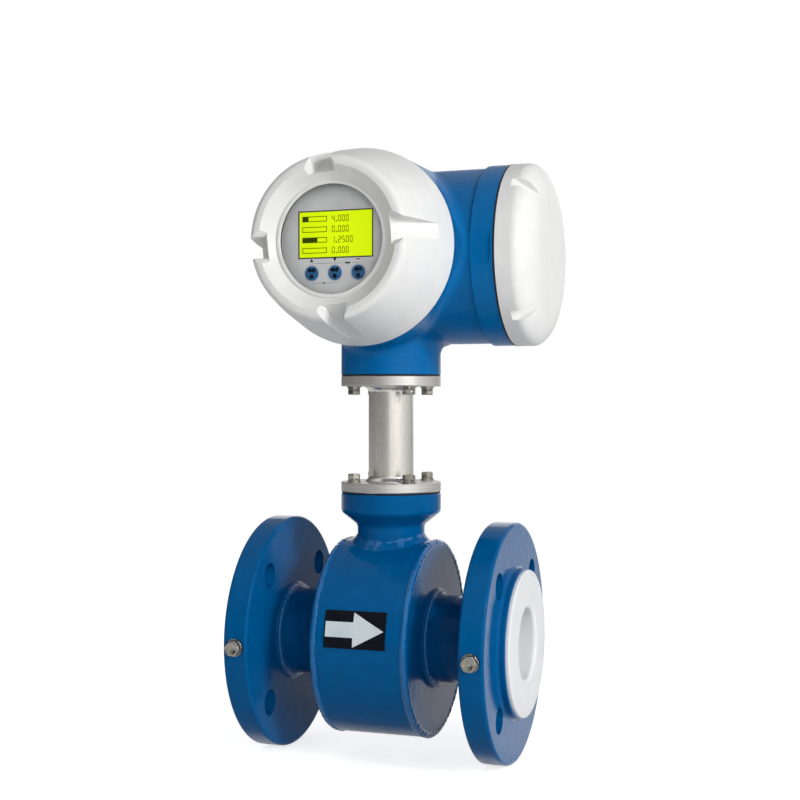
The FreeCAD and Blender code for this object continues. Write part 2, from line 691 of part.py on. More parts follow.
def terminal_screws():
    """Slotted clamping screws, one in each well."""
    top = TERMINAL_FLOOR_X + TERMINAL_PLATE + 12.0
    screw = rod(2.7, top - 6, top).cut(bar(-3, 3, -0.4, 0.4, top - 1.2, top + 1))
    return [placed(moved(screw, y, -2.0), TERMINAL_AXIS) for y in terminal_ys()]


def plate_screws():
    """Four slotted screws that hold the terminal plate."""
    screw = moved(slotted_screw(PLATE_SCREW_R - 0.05, 7.0), z=TERMINAL_FLOOR_X + TERMINAL_PLATE)
    return [placed(copy, TERMINAL_AXIS) for copy in on_circle(screw, PLATE_SCREW_CIRCLE_R, 4)]


def gland_body():
    """Threaded body with its hexagon, bored for the cable seal."""
    across = GLAND_ACROSS
    core = turned([(6.3, -14), (GLAND_THREAD_R, -14, 0.8), (GLAND_THREAD_R, 1.0), (9.5, 1.0),
                   (9.5, 16.0, 0.8), (8.0, 16.0), (8.0, 4.0), (6.3, 4.0)])
    ring = moved(hex_head(across, 5.5), z=1.0).cut(rod(9.0, 0, 8))
    return core.fuse(ring).removeSplitter()


def gland_nut():
    """Domed clamping nut."""
    blank = turned([(6.2, 19.5), (6.2, 22), (8.5, 22, 1.5), (14.5, 18.0, 4.0), (14.5, 7.0),
                    (9.8, 7.0), (9.8, 19.5)])
    sides = prism(hex_corners(GLAND_ACROSS), 7.0, 17.0).fuse(rod(12.0, 17.0, 23.0))
    return blank.common(sides).removeSplitter()


def gland_seal():
    """Rubber sleeve that closes on the cable, with a nose in the body and one in the nut."""
    return turned([(CABLE_R, 3.0), (SEAL_NOSE_R, 3.0), (SEAL_NOSE_R, 4.0), (SEAL_R, 4.0),
                   (SEAL_R, 19.5), (SEAL_NOSE_R, 19.5), (SEAL_NOSE_R, 20.5), (CABLE_R, 20.5)])


def at_glands(shape):
    """One copy of a gland piece at each seat."""
    return [placed(shape, frame) for frame in gland_frames()]


# ---------------------------------------------------------------- covers

def slot_cutter(start, stop, width):
    """Wrench slot: its flat floor runs from (r, z) start on the flank to stop at the crest.

    It widens towards the crest and flares there with rounded lips.
    """
    run = math.hypot(stop[0] - start[0], stop[1] - start[1])
    tilt = math.degrees(math.atan2(start[0] - stop[0], stop[1] - start[1]))
    narrow = width * 0.40
    wide = width * 0.52
    flare = width * 0.88
    side = [(0, narrow, width * 0.2), (run, wide, width * 0.25), (run + 4.5, flare), (run * 1.8, flare)]
    blade = prism(side + [(x, -y, *r) for x, y, *r in reversed(side)], 0, 30)
    blade.rotate(V(0, 0, 0), V(0, 1, 0), -90)
    blade.rotate(V(0, 0, 0), V(0, 0, 1), 180)
    blade.rotate(V(0, 0, 0), V(0, 1, 0), -tilt)
    return moved(blade, x=start[0], z=start[1])


def display_cover():
    """Conical screw cover with a funnel round the window and four wrench slots."""
    base = DISPLAY_DRUM_FRONT + SEAL + 2 * SEAL_GAP
    thread_r = DISPLAY_SPIGOT_R + THREAD_GAP
    pocket_r = GLASS_R + THREAD_GAP
    seat = GLASS_FRONT + 0.5
    shell = turned([(thread_r, base), (COVER_BASE_R, base, 0.8), COVER_BEND + (90.0,),
                    COVER_CREST + (4.5,), (46.4, COVER_CREST[1], 1.0), (37.4, seat + 0.5, 0.3),
                    (37.1, seat + 1.6, 0.3), (WINDOW_R, seat + 1.6, 0.3), (WINDOW_R, seat),
                    (pocket_r, seat), (pocket_r, seat - 8.5), (43.5, seat - 8.5),
                    (57.0, DISPLAY_SPIGOT_FRONT + 4.4), (thread_r, DISPLAY_SPIGOT_FRONT + 2.4)])
    slots = on_circle(slot_cutter((62.4, 81.0), (42.8, 116.0), SLOT_WIDTH), 0.0, COVER_SLOTS,
                      COVER_SLOT_TURN)
    return placed(shell.cut(slots), DISPLAY_AXIS)


def window_glass():
    """Toughened glass disc."""
    back = GLASS_FRONT - GLASS
    return placed(turned([(0, back), (GLASS_R, back, 0.4), (GLASS_R, GLASS_FRONT, 0.4),
                          (0, GLASS_FRONT)]), DISPLAY_AXIS)


def window_gasket():
    """Flat ring between the glass and the lip of the cover."""
    return placed(tube(WINDOW_R + 1.0, GLASS_R, GLASS_FRONT, GLASS_FRONT + 0.5), DISPLAY_AXIS)


def window_retaining_ring():
    """Ring behind the glass, with two notches for a pin wrench."""
    back = GLASS_FRONT - GLASS
    ring = tube(PANEL_R + 0.6, GLASS_R + THREAD_GAP, back - 3.5, back)
    notches = on_circle(rod(1.6, back - 5, back - 1.5), 40.4, 2, 0.0)
    return placed(ring.cut(notches), DISPLAY_AXIS)


def cap_outline():
    """Terminal cover section: straight skirt, elliptic shoulder, flat crown, coned inside."""
    base = TERMINAL_FACE_X + SEAL + 2 * SEAL_GAP
    thread_r = TERMINAL_SPIGOT_R + THREAD_GAP
    centre = in_xz(CAP_CROWN_R, CAP_SHOULDER_X)
    skirt_end = in_xz(CAP_R, CAP_SHOULDER_X)
    crown_end = in_xz(CAP_CROWN_R, CAP_CROWN_X)
    quarter = Part.ArcOfEllipse(Part.Ellipse(skirt_end, crown_end, centre), 0, math.pi / 2)
    path = [crown_end, in_xz(0, CAP_CROWN_X), in_xz(0, 112.3), in_xz(43.5, 112.3),
            in_xz(thread_r, 101.0), in_xz(thread_r, base), in_xz(CAP_R, base), skirt_end]
    return Part.Wire([quarter.toShape()] + Part.makePolygon(path).Edges)


def terminal_cover():
    """Domed screw cap with four wrench slots across its shoulder."""
    shell = Part.Face(cap_outline()).revolve(V(0, 0, 0), V(0, 0, 1), 360)
    slots = on_circle(slot_cutter((63.2, 98.6), (44.0, 117.8), CAP_SLOT_WIDTH), 0.0, COVER_SLOTS)
    return placed(shell.cut(slots), TERMINAL_AXIS)


def cover_seal(spigot_r, outer_r, face):
    """Flat rubber ring round a spigot, between housing and cover."""
    low = face + SEAL_GAP
    return tube(spigot_r + THREAD_GAP, outer_r, low, low + SEAL)


# ---------------------------------------------------------------- marks and earth screws

def on_drum_front(corners, skin):
    """Thin plate of the given outline, bent round the front of the coil housing."""
    blank = placed(prism(corners, DRUM_R - 10, DRUM_R + 5), FreeCAD.Placement(V(), TO_FRONT))
    return blank.common(placed(tube(DRUM_R, DRUM_R + skin, -30, 30), PIPE_AXIS))


def arrow_corners():
    """Broad arrow that points downstream."""
    x, z = ARROW_CENTRE
    width, height = ARROW_PLATE
    tail = x - width / 2 + 0.8
    neck = x - 1.2
    tip = x + width / 2 - 1.2
    shaft = height * 0.205
    head = height * 0.465
    return [(tail, z - shaft), (neck, z - shaft), (neck, z - head), (tip, z),
            (neck, z + head), (neck, z + shaft), (tail, z + shaft)]


def arrow_plate_corners():
    """Rectangle of the arrow plate."""
    x, z = ARROW_CENTRE
    half_w = ARROW_PLATE[0] / 2
    half_h = ARROW_PLATE[1] / 2
    return [(x - half_w, z - half_h), (x + half_w, z - half_h), (x + half_w, z + half_h),
            (x - half_w, z + half_h)]


def flow_arrow_plate():
    """Dark plate with the arrow cut out of it."""
    plate = on_drum_front(arrow_plate_corners(), ARROW_SKIN)
    return plate.cut(on_drum_front(arrow_corners(), ARROW_SKIN + 1.0))


def earth_fasteners():
    """Earth screw with its washer, on the rim of the outlet flange."""
    middle_x = FACE_TO_FACE / 2.0 - LINER_FLARE - RAISED_FACE - FLANGE_THICKNESS / 2.0
    seat = FreeCAD.Placement(V(middle_x, -EARTH_SEAT_Y, 0), TO_FRONT)
    washer = tube(TAPPED_R + 0.1, 6.0, 0.0, 1.2)
    screw = moved(hex_screw(10.0, 4.2, SCREW_R, 12.0), z=1.2)
    return placed(screw, seat), placed(washer, seat)


# ---------------------------------------------------------------- the meter

def save_tube_parts():
    """Tube, flanges, liner, electrodes and the field coils."""
    save("outlet_flange", flange())
    save("inlet_flange", at_inlet(flange()))
    save("measuring_tube", measuring_tube())
    save("pipe_liner", pipe_liner())
    save("electrodes", *both_sides(electrode()))
    save("electrode_insulators", *both_sides(electrode_insulator()))
    save("electrode_nuts", *both_sides(electrode_nut()))
    save("coil_housing", coil_housing())
    save("pole_pieces", pole_piece(), below(pole_piece()))
    save("coil_windings", coil_winding(), below(coil_winding()))
    save("return_yoke", return_yoke())


def save_neck_parts():
    """Everything between the coil housing and the converter."""
    save("housing_neck", housing_neck())
    save("lower_neck_gasket", neck_gasket(SOCKET_TOP_Z))
    save("lower_neck_flange", neck_flange(SOCKET_TOP_Z + GASKET, LOWER_FLANGE_TOP_Z))
    save("neck_tube", neck_tube())
    save("upper_neck_flange", neck_flange(UPPER_FLANGE_Z, UPPER_FLANGE_TOP_Z))
    save("upper_neck_gasket", neck_gasket(UPPER_FLANGE_TOP_Z))
    save("lead_bundle", lead_bundle())
    save_neck_fasteners()


def save_converter_parts():
    """Housing, display unit, boards, terminals and glands."""
    save("converter_housing", converter_housing())
    save("display_panel", display_panel())
    save("display_case", display_case())
    save("lcd_module", lcd_module())
    save("optical_keys", *optical_keys())
    save("display_posts", *display_posts())
    save("main_board", main_board())
    save("power_board", power_board())
    save("board_posts", *board_posts())
    save("board_screws", *board_screws())
    save("terminal_plate", terminal_plate())
    save("terminal_block", terminal_block())
    save("terminal_screws", *terminal_screws())
    save("terminal_plate_screws", *plate_screws())
    save("gland_washers", *at_glands(tube(GLAND_THREAD_R + 0.2, 13.0, 0.0, 1.0)))
    save("gland_bodies", *at_glands(gland_body()))
    save("gland_seals", *at_glands(gland_seal()))
    save("gland_nuts", *at_glands(gland_nut()))


def save_cover_parts():
    """Both screw covers with their seals and the window."""
    save("display_cover", display_cover())
    save("window_glass", window_glass())
    save("window_gasket", window_gasket())
    save("window_retaining_ring", window_retaining_ring())
    save("display_cover_seal", placed(cover_seal(DISPLAY_SPIGOT_R, 65.6, DISPLAY_DRUM_FRONT),
                                      DISPLAY_AXIS))
    save("terminal_cover", terminal_cover())
    save("terminal_cover_seal", placed(cover_seal(TERMINAL_SPIGOT_R, 61.9, TERMINAL_FACE_X),
                                       TERMINAL_AXIS))


def save_marks():
    """Flow arrow and earth screws."""
    save("flow_arrow_plate", flow_arrow_plate())
    save("flow_arrow", on_drum_front(arrow_corners(), ARROW_SKIN))
    screw, washer = earth_fasteners()
    save("earth_screws", at_inlet(screw), screw)
    save("earth_washers", at_inlet(washer), washer)


def main():
    """Build and write every sub-part."""
    os.makedirs("parts", exist_ok=True)
    save_tube_parts()
    save_neck_parts()
    save_converter_parts()
    save_cover_parts()
    save_marks()



main()
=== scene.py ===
"""Finishes, fine pieces and studio for a flanged electromagnetic flow meter.

Everything is in metres and in the frame's own axes: the flow runs along +X, the display looks
to -Y and +Z goes up the neck. Places and radii come from the frame's nodes.
"""
import logging
import math
from dataclasses import dataclass
from enum import Enum
from typing import Any, Iterable, Sequence, Union

import bmesh
import bpy
from mathutils import Matrix, Vector


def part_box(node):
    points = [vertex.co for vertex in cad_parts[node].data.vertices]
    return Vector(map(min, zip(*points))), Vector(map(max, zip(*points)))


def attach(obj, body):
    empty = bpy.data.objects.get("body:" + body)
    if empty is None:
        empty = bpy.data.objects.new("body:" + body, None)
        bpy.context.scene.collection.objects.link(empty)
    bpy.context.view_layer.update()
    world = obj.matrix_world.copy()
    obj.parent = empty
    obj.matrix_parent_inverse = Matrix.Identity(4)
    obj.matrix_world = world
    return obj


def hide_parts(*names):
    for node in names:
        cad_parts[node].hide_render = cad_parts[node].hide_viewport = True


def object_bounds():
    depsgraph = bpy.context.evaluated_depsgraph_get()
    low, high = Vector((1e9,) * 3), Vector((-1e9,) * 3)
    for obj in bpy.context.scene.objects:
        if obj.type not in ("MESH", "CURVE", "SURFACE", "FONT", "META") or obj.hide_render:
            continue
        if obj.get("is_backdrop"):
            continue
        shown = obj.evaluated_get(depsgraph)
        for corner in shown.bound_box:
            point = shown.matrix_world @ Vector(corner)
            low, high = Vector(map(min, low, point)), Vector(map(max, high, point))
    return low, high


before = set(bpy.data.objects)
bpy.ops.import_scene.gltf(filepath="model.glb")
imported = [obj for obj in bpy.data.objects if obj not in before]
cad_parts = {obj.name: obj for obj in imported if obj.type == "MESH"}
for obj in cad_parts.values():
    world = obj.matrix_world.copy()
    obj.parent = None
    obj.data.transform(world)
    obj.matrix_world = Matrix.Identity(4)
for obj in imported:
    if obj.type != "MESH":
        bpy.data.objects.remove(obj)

log = logging.getLogger("flow_meter")

MM = 0.001
WHITE = (1.0, 1.0, 1.0, 1.0)
SCREW_CREASE = 50.0
WELD_CREASE = 80.0

Pair = tuple[float, float]
Point = Pair
Triple = tuple[float, float, float]
Colour = Triple
Socket = bpy.types.NodeSocket
Value = Union[float, int, bool, Sequence[float], Socket]


class Body(Enum):
    """Rigid groups of the frame that the fitted pieces ride on."""

    METER = "meter"
    TERMINAL_SEAL = "terminal_seal"


def linear(red: int, green: int, blue: int) -> Colour:
    """Turns a display colour of three bytes into the linear colour that shaders use."""
    return tuple(
        part / 12.92 if part <= 0.04045 else ((part + 0.055) / 1.055) ** 2.4
        for part in (red / 255.0, green / 255.0, blue / 255.0)
    )


def node_object(node: str) -> bpy.types.Object:
    """The frame's object for one node."""
    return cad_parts[node]


# ---------------------------------------------------------------- node trees

class Tree:
    """Adds and joins nodes in one shader or geometry tree."""

    def __init__(self, tree: bpy.types.NodeTree) -> None:
        """Keeps the tree that the nodes go into."""
        self.tree = tree

    def add(self, kind: str, inputs: dict[Any, Value] | None = None,
            **settings: Any) -> bpy.types.Node:
        """Adds a node.

        Args:
            kind: Blender's own name of the node type.
            inputs: values or sockets for its inputs, by name or by place.
            settings: attributes of the node that aren't sockets.

        Returns:
            The new node.
        """
        node = self.tree.nodes.new(kind)
        for name, value in settings.items():
            setattr(node, name, value)
        for name, value in (inputs or {}).items():
            self.join(value, node.inputs[name])
        return node

    def join(self, value: Value, socket: Socket) -> None:
        """Links a socket into another, or sets a plain value on it."""
        if isinstance(value, bpy.types.NodeSocket):
            self.tree.links.new(value, socket)
        else:
            socket.default_value = value

    def math(self, operation: str, first: Value, second: Value = 0.0, third: Value = 0.0) -> Socket:
        """Output of a Math node for up to three values."""
        node = self.add("ShaderNodeMath", {0: first, 1: second, 2: third}, operation=operation)
        return node.outputs[0]

    def vector(self, operation: str, first: Value, second: Value = (0.0, 0.0, 0.0)) -> bpy.types.Node:
        """A Vector Math node for two vectors."""
        return self.add("ShaderNodeVectorMath", {0: first, 1: second}, operation=operation)

    def ramp(self, value: Value, low: float, high: float, first: Value, last: Value) -> Socket:
        """Maps a range of a value to another range, held at both ends."""
        node = self.add("ShaderNodeMapRange", {
            "Value": value, "From Min": low, "From Max": high, "To Min": first, "To Max": last})
        return node.outputs["Result"]

    def blend(self, factor: Value, first: Value, second: Value) -> Socket:
        """Mix of two colours."""
        node = self.add("ShaderNodeMix", data_type="RGBA")
        self.join(factor, node.inputs["Factor"])
        for value, socket in ((first, node.inputs["A"]), (second, node.inputs["B"])):
            self.join(value, self.colour_socket(node, socket))
        return self.colour_output(node)

    @staticmethod
    def colour_socket(node: bpy.types.Node, socket: Socket) -> Socket:
        """The colour version of a Mix node's input that has several types under one name."""
        return next(found for found in node.inputs
                    if found.name == socket.name and found.type == "RGBA")

    @staticmethod
    def colour_output(node: bpy.types.Node) -> Socket:
        """The colour output of a Mix node."""
        return next(found for found in node.outputs if found.type == "RGBA")


def emptied(owner: Union[bpy.types.Material, bpy.types.World]) -> Tree:
    """The node tree of a material or world, with nothing in it."""
    owner.use_nodes = True
    owner.node_tree.nodes.clear()
    return Tree(owner.node_tree)


def opaque(colour: Colour) -> tuple[float, float, float, float]:
    """A colour with full alpha, as colour sockets take it."""
    return (*colour, 1.0)


def new_group(name: str, inputs: Sequence[tuple[str, str, Any]],
              outputs: Sequence[tuple[str, str]], kind: str = "ShaderNodeTree") -> Tree:
    """Starts a node group.

    Args:
        name: name of the group.
        inputs: name, socket type and default value of each input.
        outputs: name and socket type of each output.
        kind: type of the tree.

    Returns:
        The tree, with its Group Input and Group Output nodes in place.
    """
    tree = bpy.data.node_groups.new(name, kind)
    for label, socket_type, value in inputs:
        socket = tree.interface.new_socket(name=label, in_out="INPUT", socket_type=socket_type)
        if value is not None:
            socket.default_value = value
    for label, socket_type in outputs:
        tree.interface.new_socket(name=label, in_out="OUTPUT", socket_type=socket_type)
    tree.nodes.new("NodeGroupInput").name = "in"
    tree.nodes.new("NodeGroupOutput").name = "out"
    return Tree(tree)


def end_marks(group: Tree, pattern: Socket, depth: Socket) -> bpy.types.NodeTree:
    """Ends a group of tool marks: the pattern is its mask, and its height once scaled by a depth."""
    group.join(group.math("MULTIPLY", pattern, depth), group.tree.nodes["out"].inputs["Height"])
    group.join(pattern, group.tree.nodes["out"].inputs["Mask"])
    return group.tree


class SurfaceGroups:
    """Shader groups that several finishes share. Heights are in millimetres."""

    def __init__(self) -> None:
        """Builds each group once."""
        self.uneven = self.build_uneven()
        self.brushed = self.build_brushed()
        self.lathed = self.build_lathed()

    @staticmethod
    def build_uneven() -> bpy.types.NodeTree:
        """Slow lumps and fine grain of a sprayed, moulded or cast skin."""
        group = new_group(
            "uneven_skin",
            [("Vector", "NodeSocketVector", None), ("Lump Size", "NodeSocketFloat", 0.01),
             ("Lump Height", "NodeSocketFloat", 0.1), ("Grain Size", "NodeSocketFloat", 0.001),
             ("Grain Height", "NodeSocketFloat", 0.01)],
            [("Height", "NodeSocketFloat"), ("Mask", "NodeSocketFloat")])
        given = group.tree.nodes["in"].outputs
        lumps = group.add("ShaderNodeTexNoise", {
            "Vector": given["Vector"], "Scale": group.math("DIVIDE", 1.0, given["Lump Size"]),
            "Detail": 2.0, "Roughness": 0.45})
        grain = group.add("ShaderNodeTexNoise", {
            "Vector": given["Vector"], "Scale": group.math("DIVIDE", 1.0, given["Grain Size"]),
            "Detail": 1.0, "Roughness": 0.5})
        slow = group.math("MULTIPLY", lumps.outputs["Fac"], given["Lump Height"])
        total = group.math("MULTIPLY_ADD", grain.outputs["Fac"], given["Grain Height"], slow)
        group.join(total, group.tree.nodes["out"].inputs["Height"])
        group.join(group.ramp(lumps.outputs["Fac"], 0.3, 0.7, 0.0, 1.0),
                   group.tree.nodes["out"].inputs["Mask"])
        return group.tree

    @staticmethod
    def build_brushed() -> bpy.types.NodeTree:
        """Straight scratches that run along one direction."""
        group = new_group(
            "brushed_lines",
            [("Vector", "NodeSocketVector", None), ("Squeeze", "NodeSocketVector", (1.0, 1.0, 0.02)),
             ("Line Size", "NodeSocketFloat", 0.0004), ("Depth", "NodeSocketFloat", 0.01)],
            [("Height", "NodeSocketFloat"), ("Mask", "NodeSocketFloat")])
        given = group.tree.nodes["in"].outputs
        squeezed = group.vector("MULTIPLY", given["Vector"], given["Squeeze"]).outputs["Vector"]
        lines = group.add("ShaderNodeTexNoise", {
            "Vector": squeezed, "Scale": group.math("DIVIDE", 1.0, given["Line Size"]),
            "Detail": 3.0, "Roughness": 0.6})
        return end_marks(group, lines.outputs["Fac"], given["Depth"])

    @staticmethod
    def build_lathed() -> bpy.types.NodeTree:
        """Fine rings left by turning, around the z axis of the given vector."""
        group = new_group(
            "lathed_rings",
            [("Vector", "NodeSocketVector", None), ("Ring Size", "NodeSocketFloat", 0.0005),
             ("Depth", "NodeSocketFloat", 0.01)],
            [("Height", "NodeSocketFloat"), ("Mask", "NodeSocketFloat")])
        given = group.tree.nodes["in"].outputs
        flat = group.vector("MULTIPLY", given["Vector"], (1.0, 1.0, 0.0)).outputs["Vector"]
        radius = group.vector("LENGTH", flat).outputs["Value"]
        split = group.add("ShaderNodeSeparateXYZ", {0: given["Vector"]})
        across = group.math("ADD", radius, split.outputs["Z"])
        rings = group.add("ShaderNodeTexNoise", {
            "W": across, "Scale": group.math("DIVIDE", 1.0, given["Ring Size"]),
            "Detail": 2.0, "Roughness": 0.6}, noise_dimensions="1D")
        return end_marks(group, rings.outputs["Fac"], given["Depth"])


# ---------------------------------------------------------------- finishes

class Finish:
    """Shared steps of every procedural finish."""

    def start(self, name: str) -> tuple[bpy.types.Material, Tree, bpy.types.Node, Socket]:
        """Makes an empty material.

        Args:
            name: name of the material.

        Returns:
            The material, its tree, its Principled shader and the object coordinates.
        """
        material = bpy.data.materials.new(name)
        tree = emptied(material)
        shader = tree.add("ShaderNodeBsdfPrincipled")
        output = tree.add("ShaderNodeOutputMaterial")
        tree.join(shader.outputs["BSDF"], output.inputs["Surface"])
        place = tree.add("ShaderNodeTexCoord").outputs["Object"]
        return material, tree, shader, place

    def raise_by(self, tree: Tree, shader: bpy.types.Node, height: Socket) -> None:
        """Turns a height in millimetres into the shader's normal."""
        bump = tree.add("ShaderNodeBump", {"Height": height, "Distance": MM, "Strength": 1.0})
        tree.join(bump.outputs["Normal"], shader.inputs["Normal"])
        tree.join(bump.outputs["Normal"], shader.inputs["Coat Normal"])

    def group_node(self, tree: Tree, group: bpy.types.NodeTree,
                   inputs: dict[str, Value]) -> bpy.types.Node:
        """Places one of the shared groups in a material."""
        node = tree.add("ShaderNodeGroup", node_tree=group)
        for name, value in inputs.items():
            tree.join(value, node.inputs[name])
        return node


@dataclass(frozen=True)
class Coating(Finish):
    """Paint, plastic or rubber: one colour that varies a little, over lumps and grain."""

    name: str
    colour: Colour
    second: Colour
    roughness: float = 0.3
    rough_spread: float = 0.06
    shine: float = 0.5
    lump_size: float = 12 * MM
    lump_height: float = 0.1
    grain_size: float = 1.2 * MM
    grain_height: float = 0.01
    coat: float = 0.0
    coat_roughness: float = 0.08
    edge_coat: float = 0.0
    edge_range: Pair = (0.6, 0.72)
    translucent: float = 0.0
    scatter_depth: float = 8 * MM

    def build(self, groups: SurfaceGroups) -> bpy.types.Material:
        """Makes the material.

        Args:
            groups: the shared shader groups.

        Returns:
            The finished material.
        """
        material, tree, shader, place = self.start(self.name)
        skin = self.group_node(tree, groups.uneven, {
            "Vector": place, "Lump Size": self.lump_size, "Lump Height": self.lump_height,
            "Grain Size": self.grain_size, "Grain Height": self.grain_height})
        mask = skin.outputs["Mask"]
        tree.join(tree.blend(mask, opaque(self.colour), opaque(self.second)),
                  shader.inputs["Base Color"])
        tree.join(tree.ramp(mask, 0.0, 1.0, self.roughness, self.roughness + self.rough_spread),
                  shader.inputs["Roughness"])
        shader.inputs["Specular IOR Level"].default_value = self.shine
        shader.inputs["Coat Weight"].default_value = self.coat
        if self.edge_coat:
            glance = tree.add("ShaderNodeLayerWeight", {"Blend": 0.5}).outputs["Facing"]
            tree.join(tree.ramp(glance, *self.edge_range, self.coat, self.edge_coat),
                      shader.inputs["Coat Weight"])
        shader.inputs["Coat Roughness"].default_value = self.coat_roughness
        shader.inputs["Subsurface Weight"].default_value = self.translucent
        shader.inputs["Subsurface Radius"].default_value = (1.0, 1.0, 1.0)
        shader.inputs["Subsurface Scale"].default_value = self.scatter_depth
        self.raise_by(tree, shader, skin.outputs["Height"])
        return material


@dataclass(frozen=True)
class BrushedMetal(Finish):
    """Metal with straight scratches."""

    name: str
    colour: Colour
    second: Colour
    roughness: float = 0.3
    rough_spread: float = 0.15
    line_size: float = 0.5 * MM
    squeeze: tuple[float, float, float] = (1.0, 1.0, 0.02)
    depth: float = 0.01

    def build(self, groups: SurfaceGroups) -> bpy.types.Material:
        """Makes the material from the shared groups."""
        material, tree, shader, place = self.start(self.name)
        lines = self.group_node(tree, groups.brushed, {
            "Vector": place, "Squeeze": self.squeeze, "Line Size": self.line_size, "Depth": self.depth})
        return finish_metal(self, material, tree, shader, lines)


@dataclass(frozen=True)
class TurnedMetal(Finish):
    """Metal with fine rings around one axis."""

    name: str
    colour: Colour
    second: Colour
    roughness: float = 0.3
    rough_spread: float = 0.15
    ring_size: float = 0.6 * MM
    depth: float = 0.012

    def build(self, groups: SurfaceGroups) -> bpy.types.Material:
        """Makes the material from the shared groups."""
        material, tree, shader, place = self.start(self.name)
        rings = self.group_node(tree, groups.lathed, {
            "Vector": place, "Ring Size": self.ring_size, "Depth": self.depth})
        return finish_metal(self, material, tree, shader, rings)


def finish_metal(look: Union[BrushedMetal, TurnedMetal], material: bpy.types.Material, tree: Tree,
                 shader: bpy.types.Node, marks: bpy.types.Node) -> bpy.types.Material:
    """Feeds tool marks into a metal's colour, roughness and normal.

    Args:
        look: the finish that holds the values.
        material: the material being made.
        tree: its tree.
        shader: its Principled shader.
        marks: group node with the outputs Height and Mask.

    Returns:
        The same material.
    """
    mask = tree.ramp(marks.outputs["Mask"], 0.3, 0.7, 0.0, 1.0)
    tree.join(tree.blend(mask, opaque(look.colour), opaque(look.second)), shader.inputs["Base Color"])
    tree.join(tree.ramp(mask, 0.0, 1.0, look.roughness, look.roughness + look.rough_spread),
              shader.inputs["Roughness"])
    shader.inputs["Metallic"].default_value = 1.0
    look.raise_by(tree, shader, marks.outputs["Height"])
    return material


@dataclass(frozen=True)
class ClearGlass(Finish):
    """Flat polished glass that lets lamps through."""

    name: str = "clear_glass"
    smear: float = 0.015
    smear_size: float = 20 * MM
    index: float = 1.12

    def build(self, groups: SurfaceGroups) -> bpy.types.Material:
        """Makes the material: glass for sight, and no shadow from the lamps."""
        material, tree, shader, place = self.start(self.name)
        skin = self.group_node(tree, groups.uneven, {
            "Vector": place, "Lump Size": self.smear_size, "Lump Height": 0.0,
            "Grain Height": 0.0})
        tree.join(tree.ramp(skin.outputs["Mask"], 0.0, 1.0, 0.0, self.smear), shader.inputs["Roughness"])
        shader.inputs["Transmission Weight"].default_value = 1.0
        shader.inputs["IOR"].default_value = self.index
        clear = tree.add("ShaderNodeBsdfTransparent")
        path = tree.add("ShaderNodeLightPath")
        mix = tree.add("ShaderNodeMixShader", {
            0: path.outputs["Is Shadow Ray"], 1: shader.outputs["BSDF"], 2: clear.outputs["BSDF"]})
        output = next(node for node in tree.tree.nodes if node.type == "OUTPUT_MATERIAL")
        tree.join(mix.outputs["Shader"], output.inputs["Surface"])
        return material


@dataclass(frozen=True)
class Backlight(Finish):
    """Display glass lit from behind, a little brighter towards its middle."""

    name: str
    colour: Colour
    edge: Colour
    centre: Triple
    reach: float
    even_share: float = 0.3
    strength: float = 1.3
    unlit: Colour = (0.01, 0.012, 0.0)
    roughness: float = 0.4

    def build(self, groups: SurfaceGroups) -> bpy.types.Material:
        """Makes the material."""
        material, tree, shader, place = self.start(self.name)
        offset = tree.vector("SUBTRACT", place, self.centre).outputs["Vector"]
        distance = tree.vector("LENGTH", offset).outputs["Value"]
        edge = tree.ramp(distance, self.even_share * self.reach, self.reach, 0.0, 1.0)
        glow = tree.blend(edge, opaque(self.colour), opaque(self.edge))
        shader.inputs["Base Color"].default_value = opaque(self.unlit)
        shader.inputs["Roughness"].default_value = self.roughness
        shader.inputs["Specular IOR Level"].default_value = 0.0
        tree.join(glow, shader.inputs["Emission Color"])
        shader.inputs["Emission Strength"].default_value = self.strength
        return material


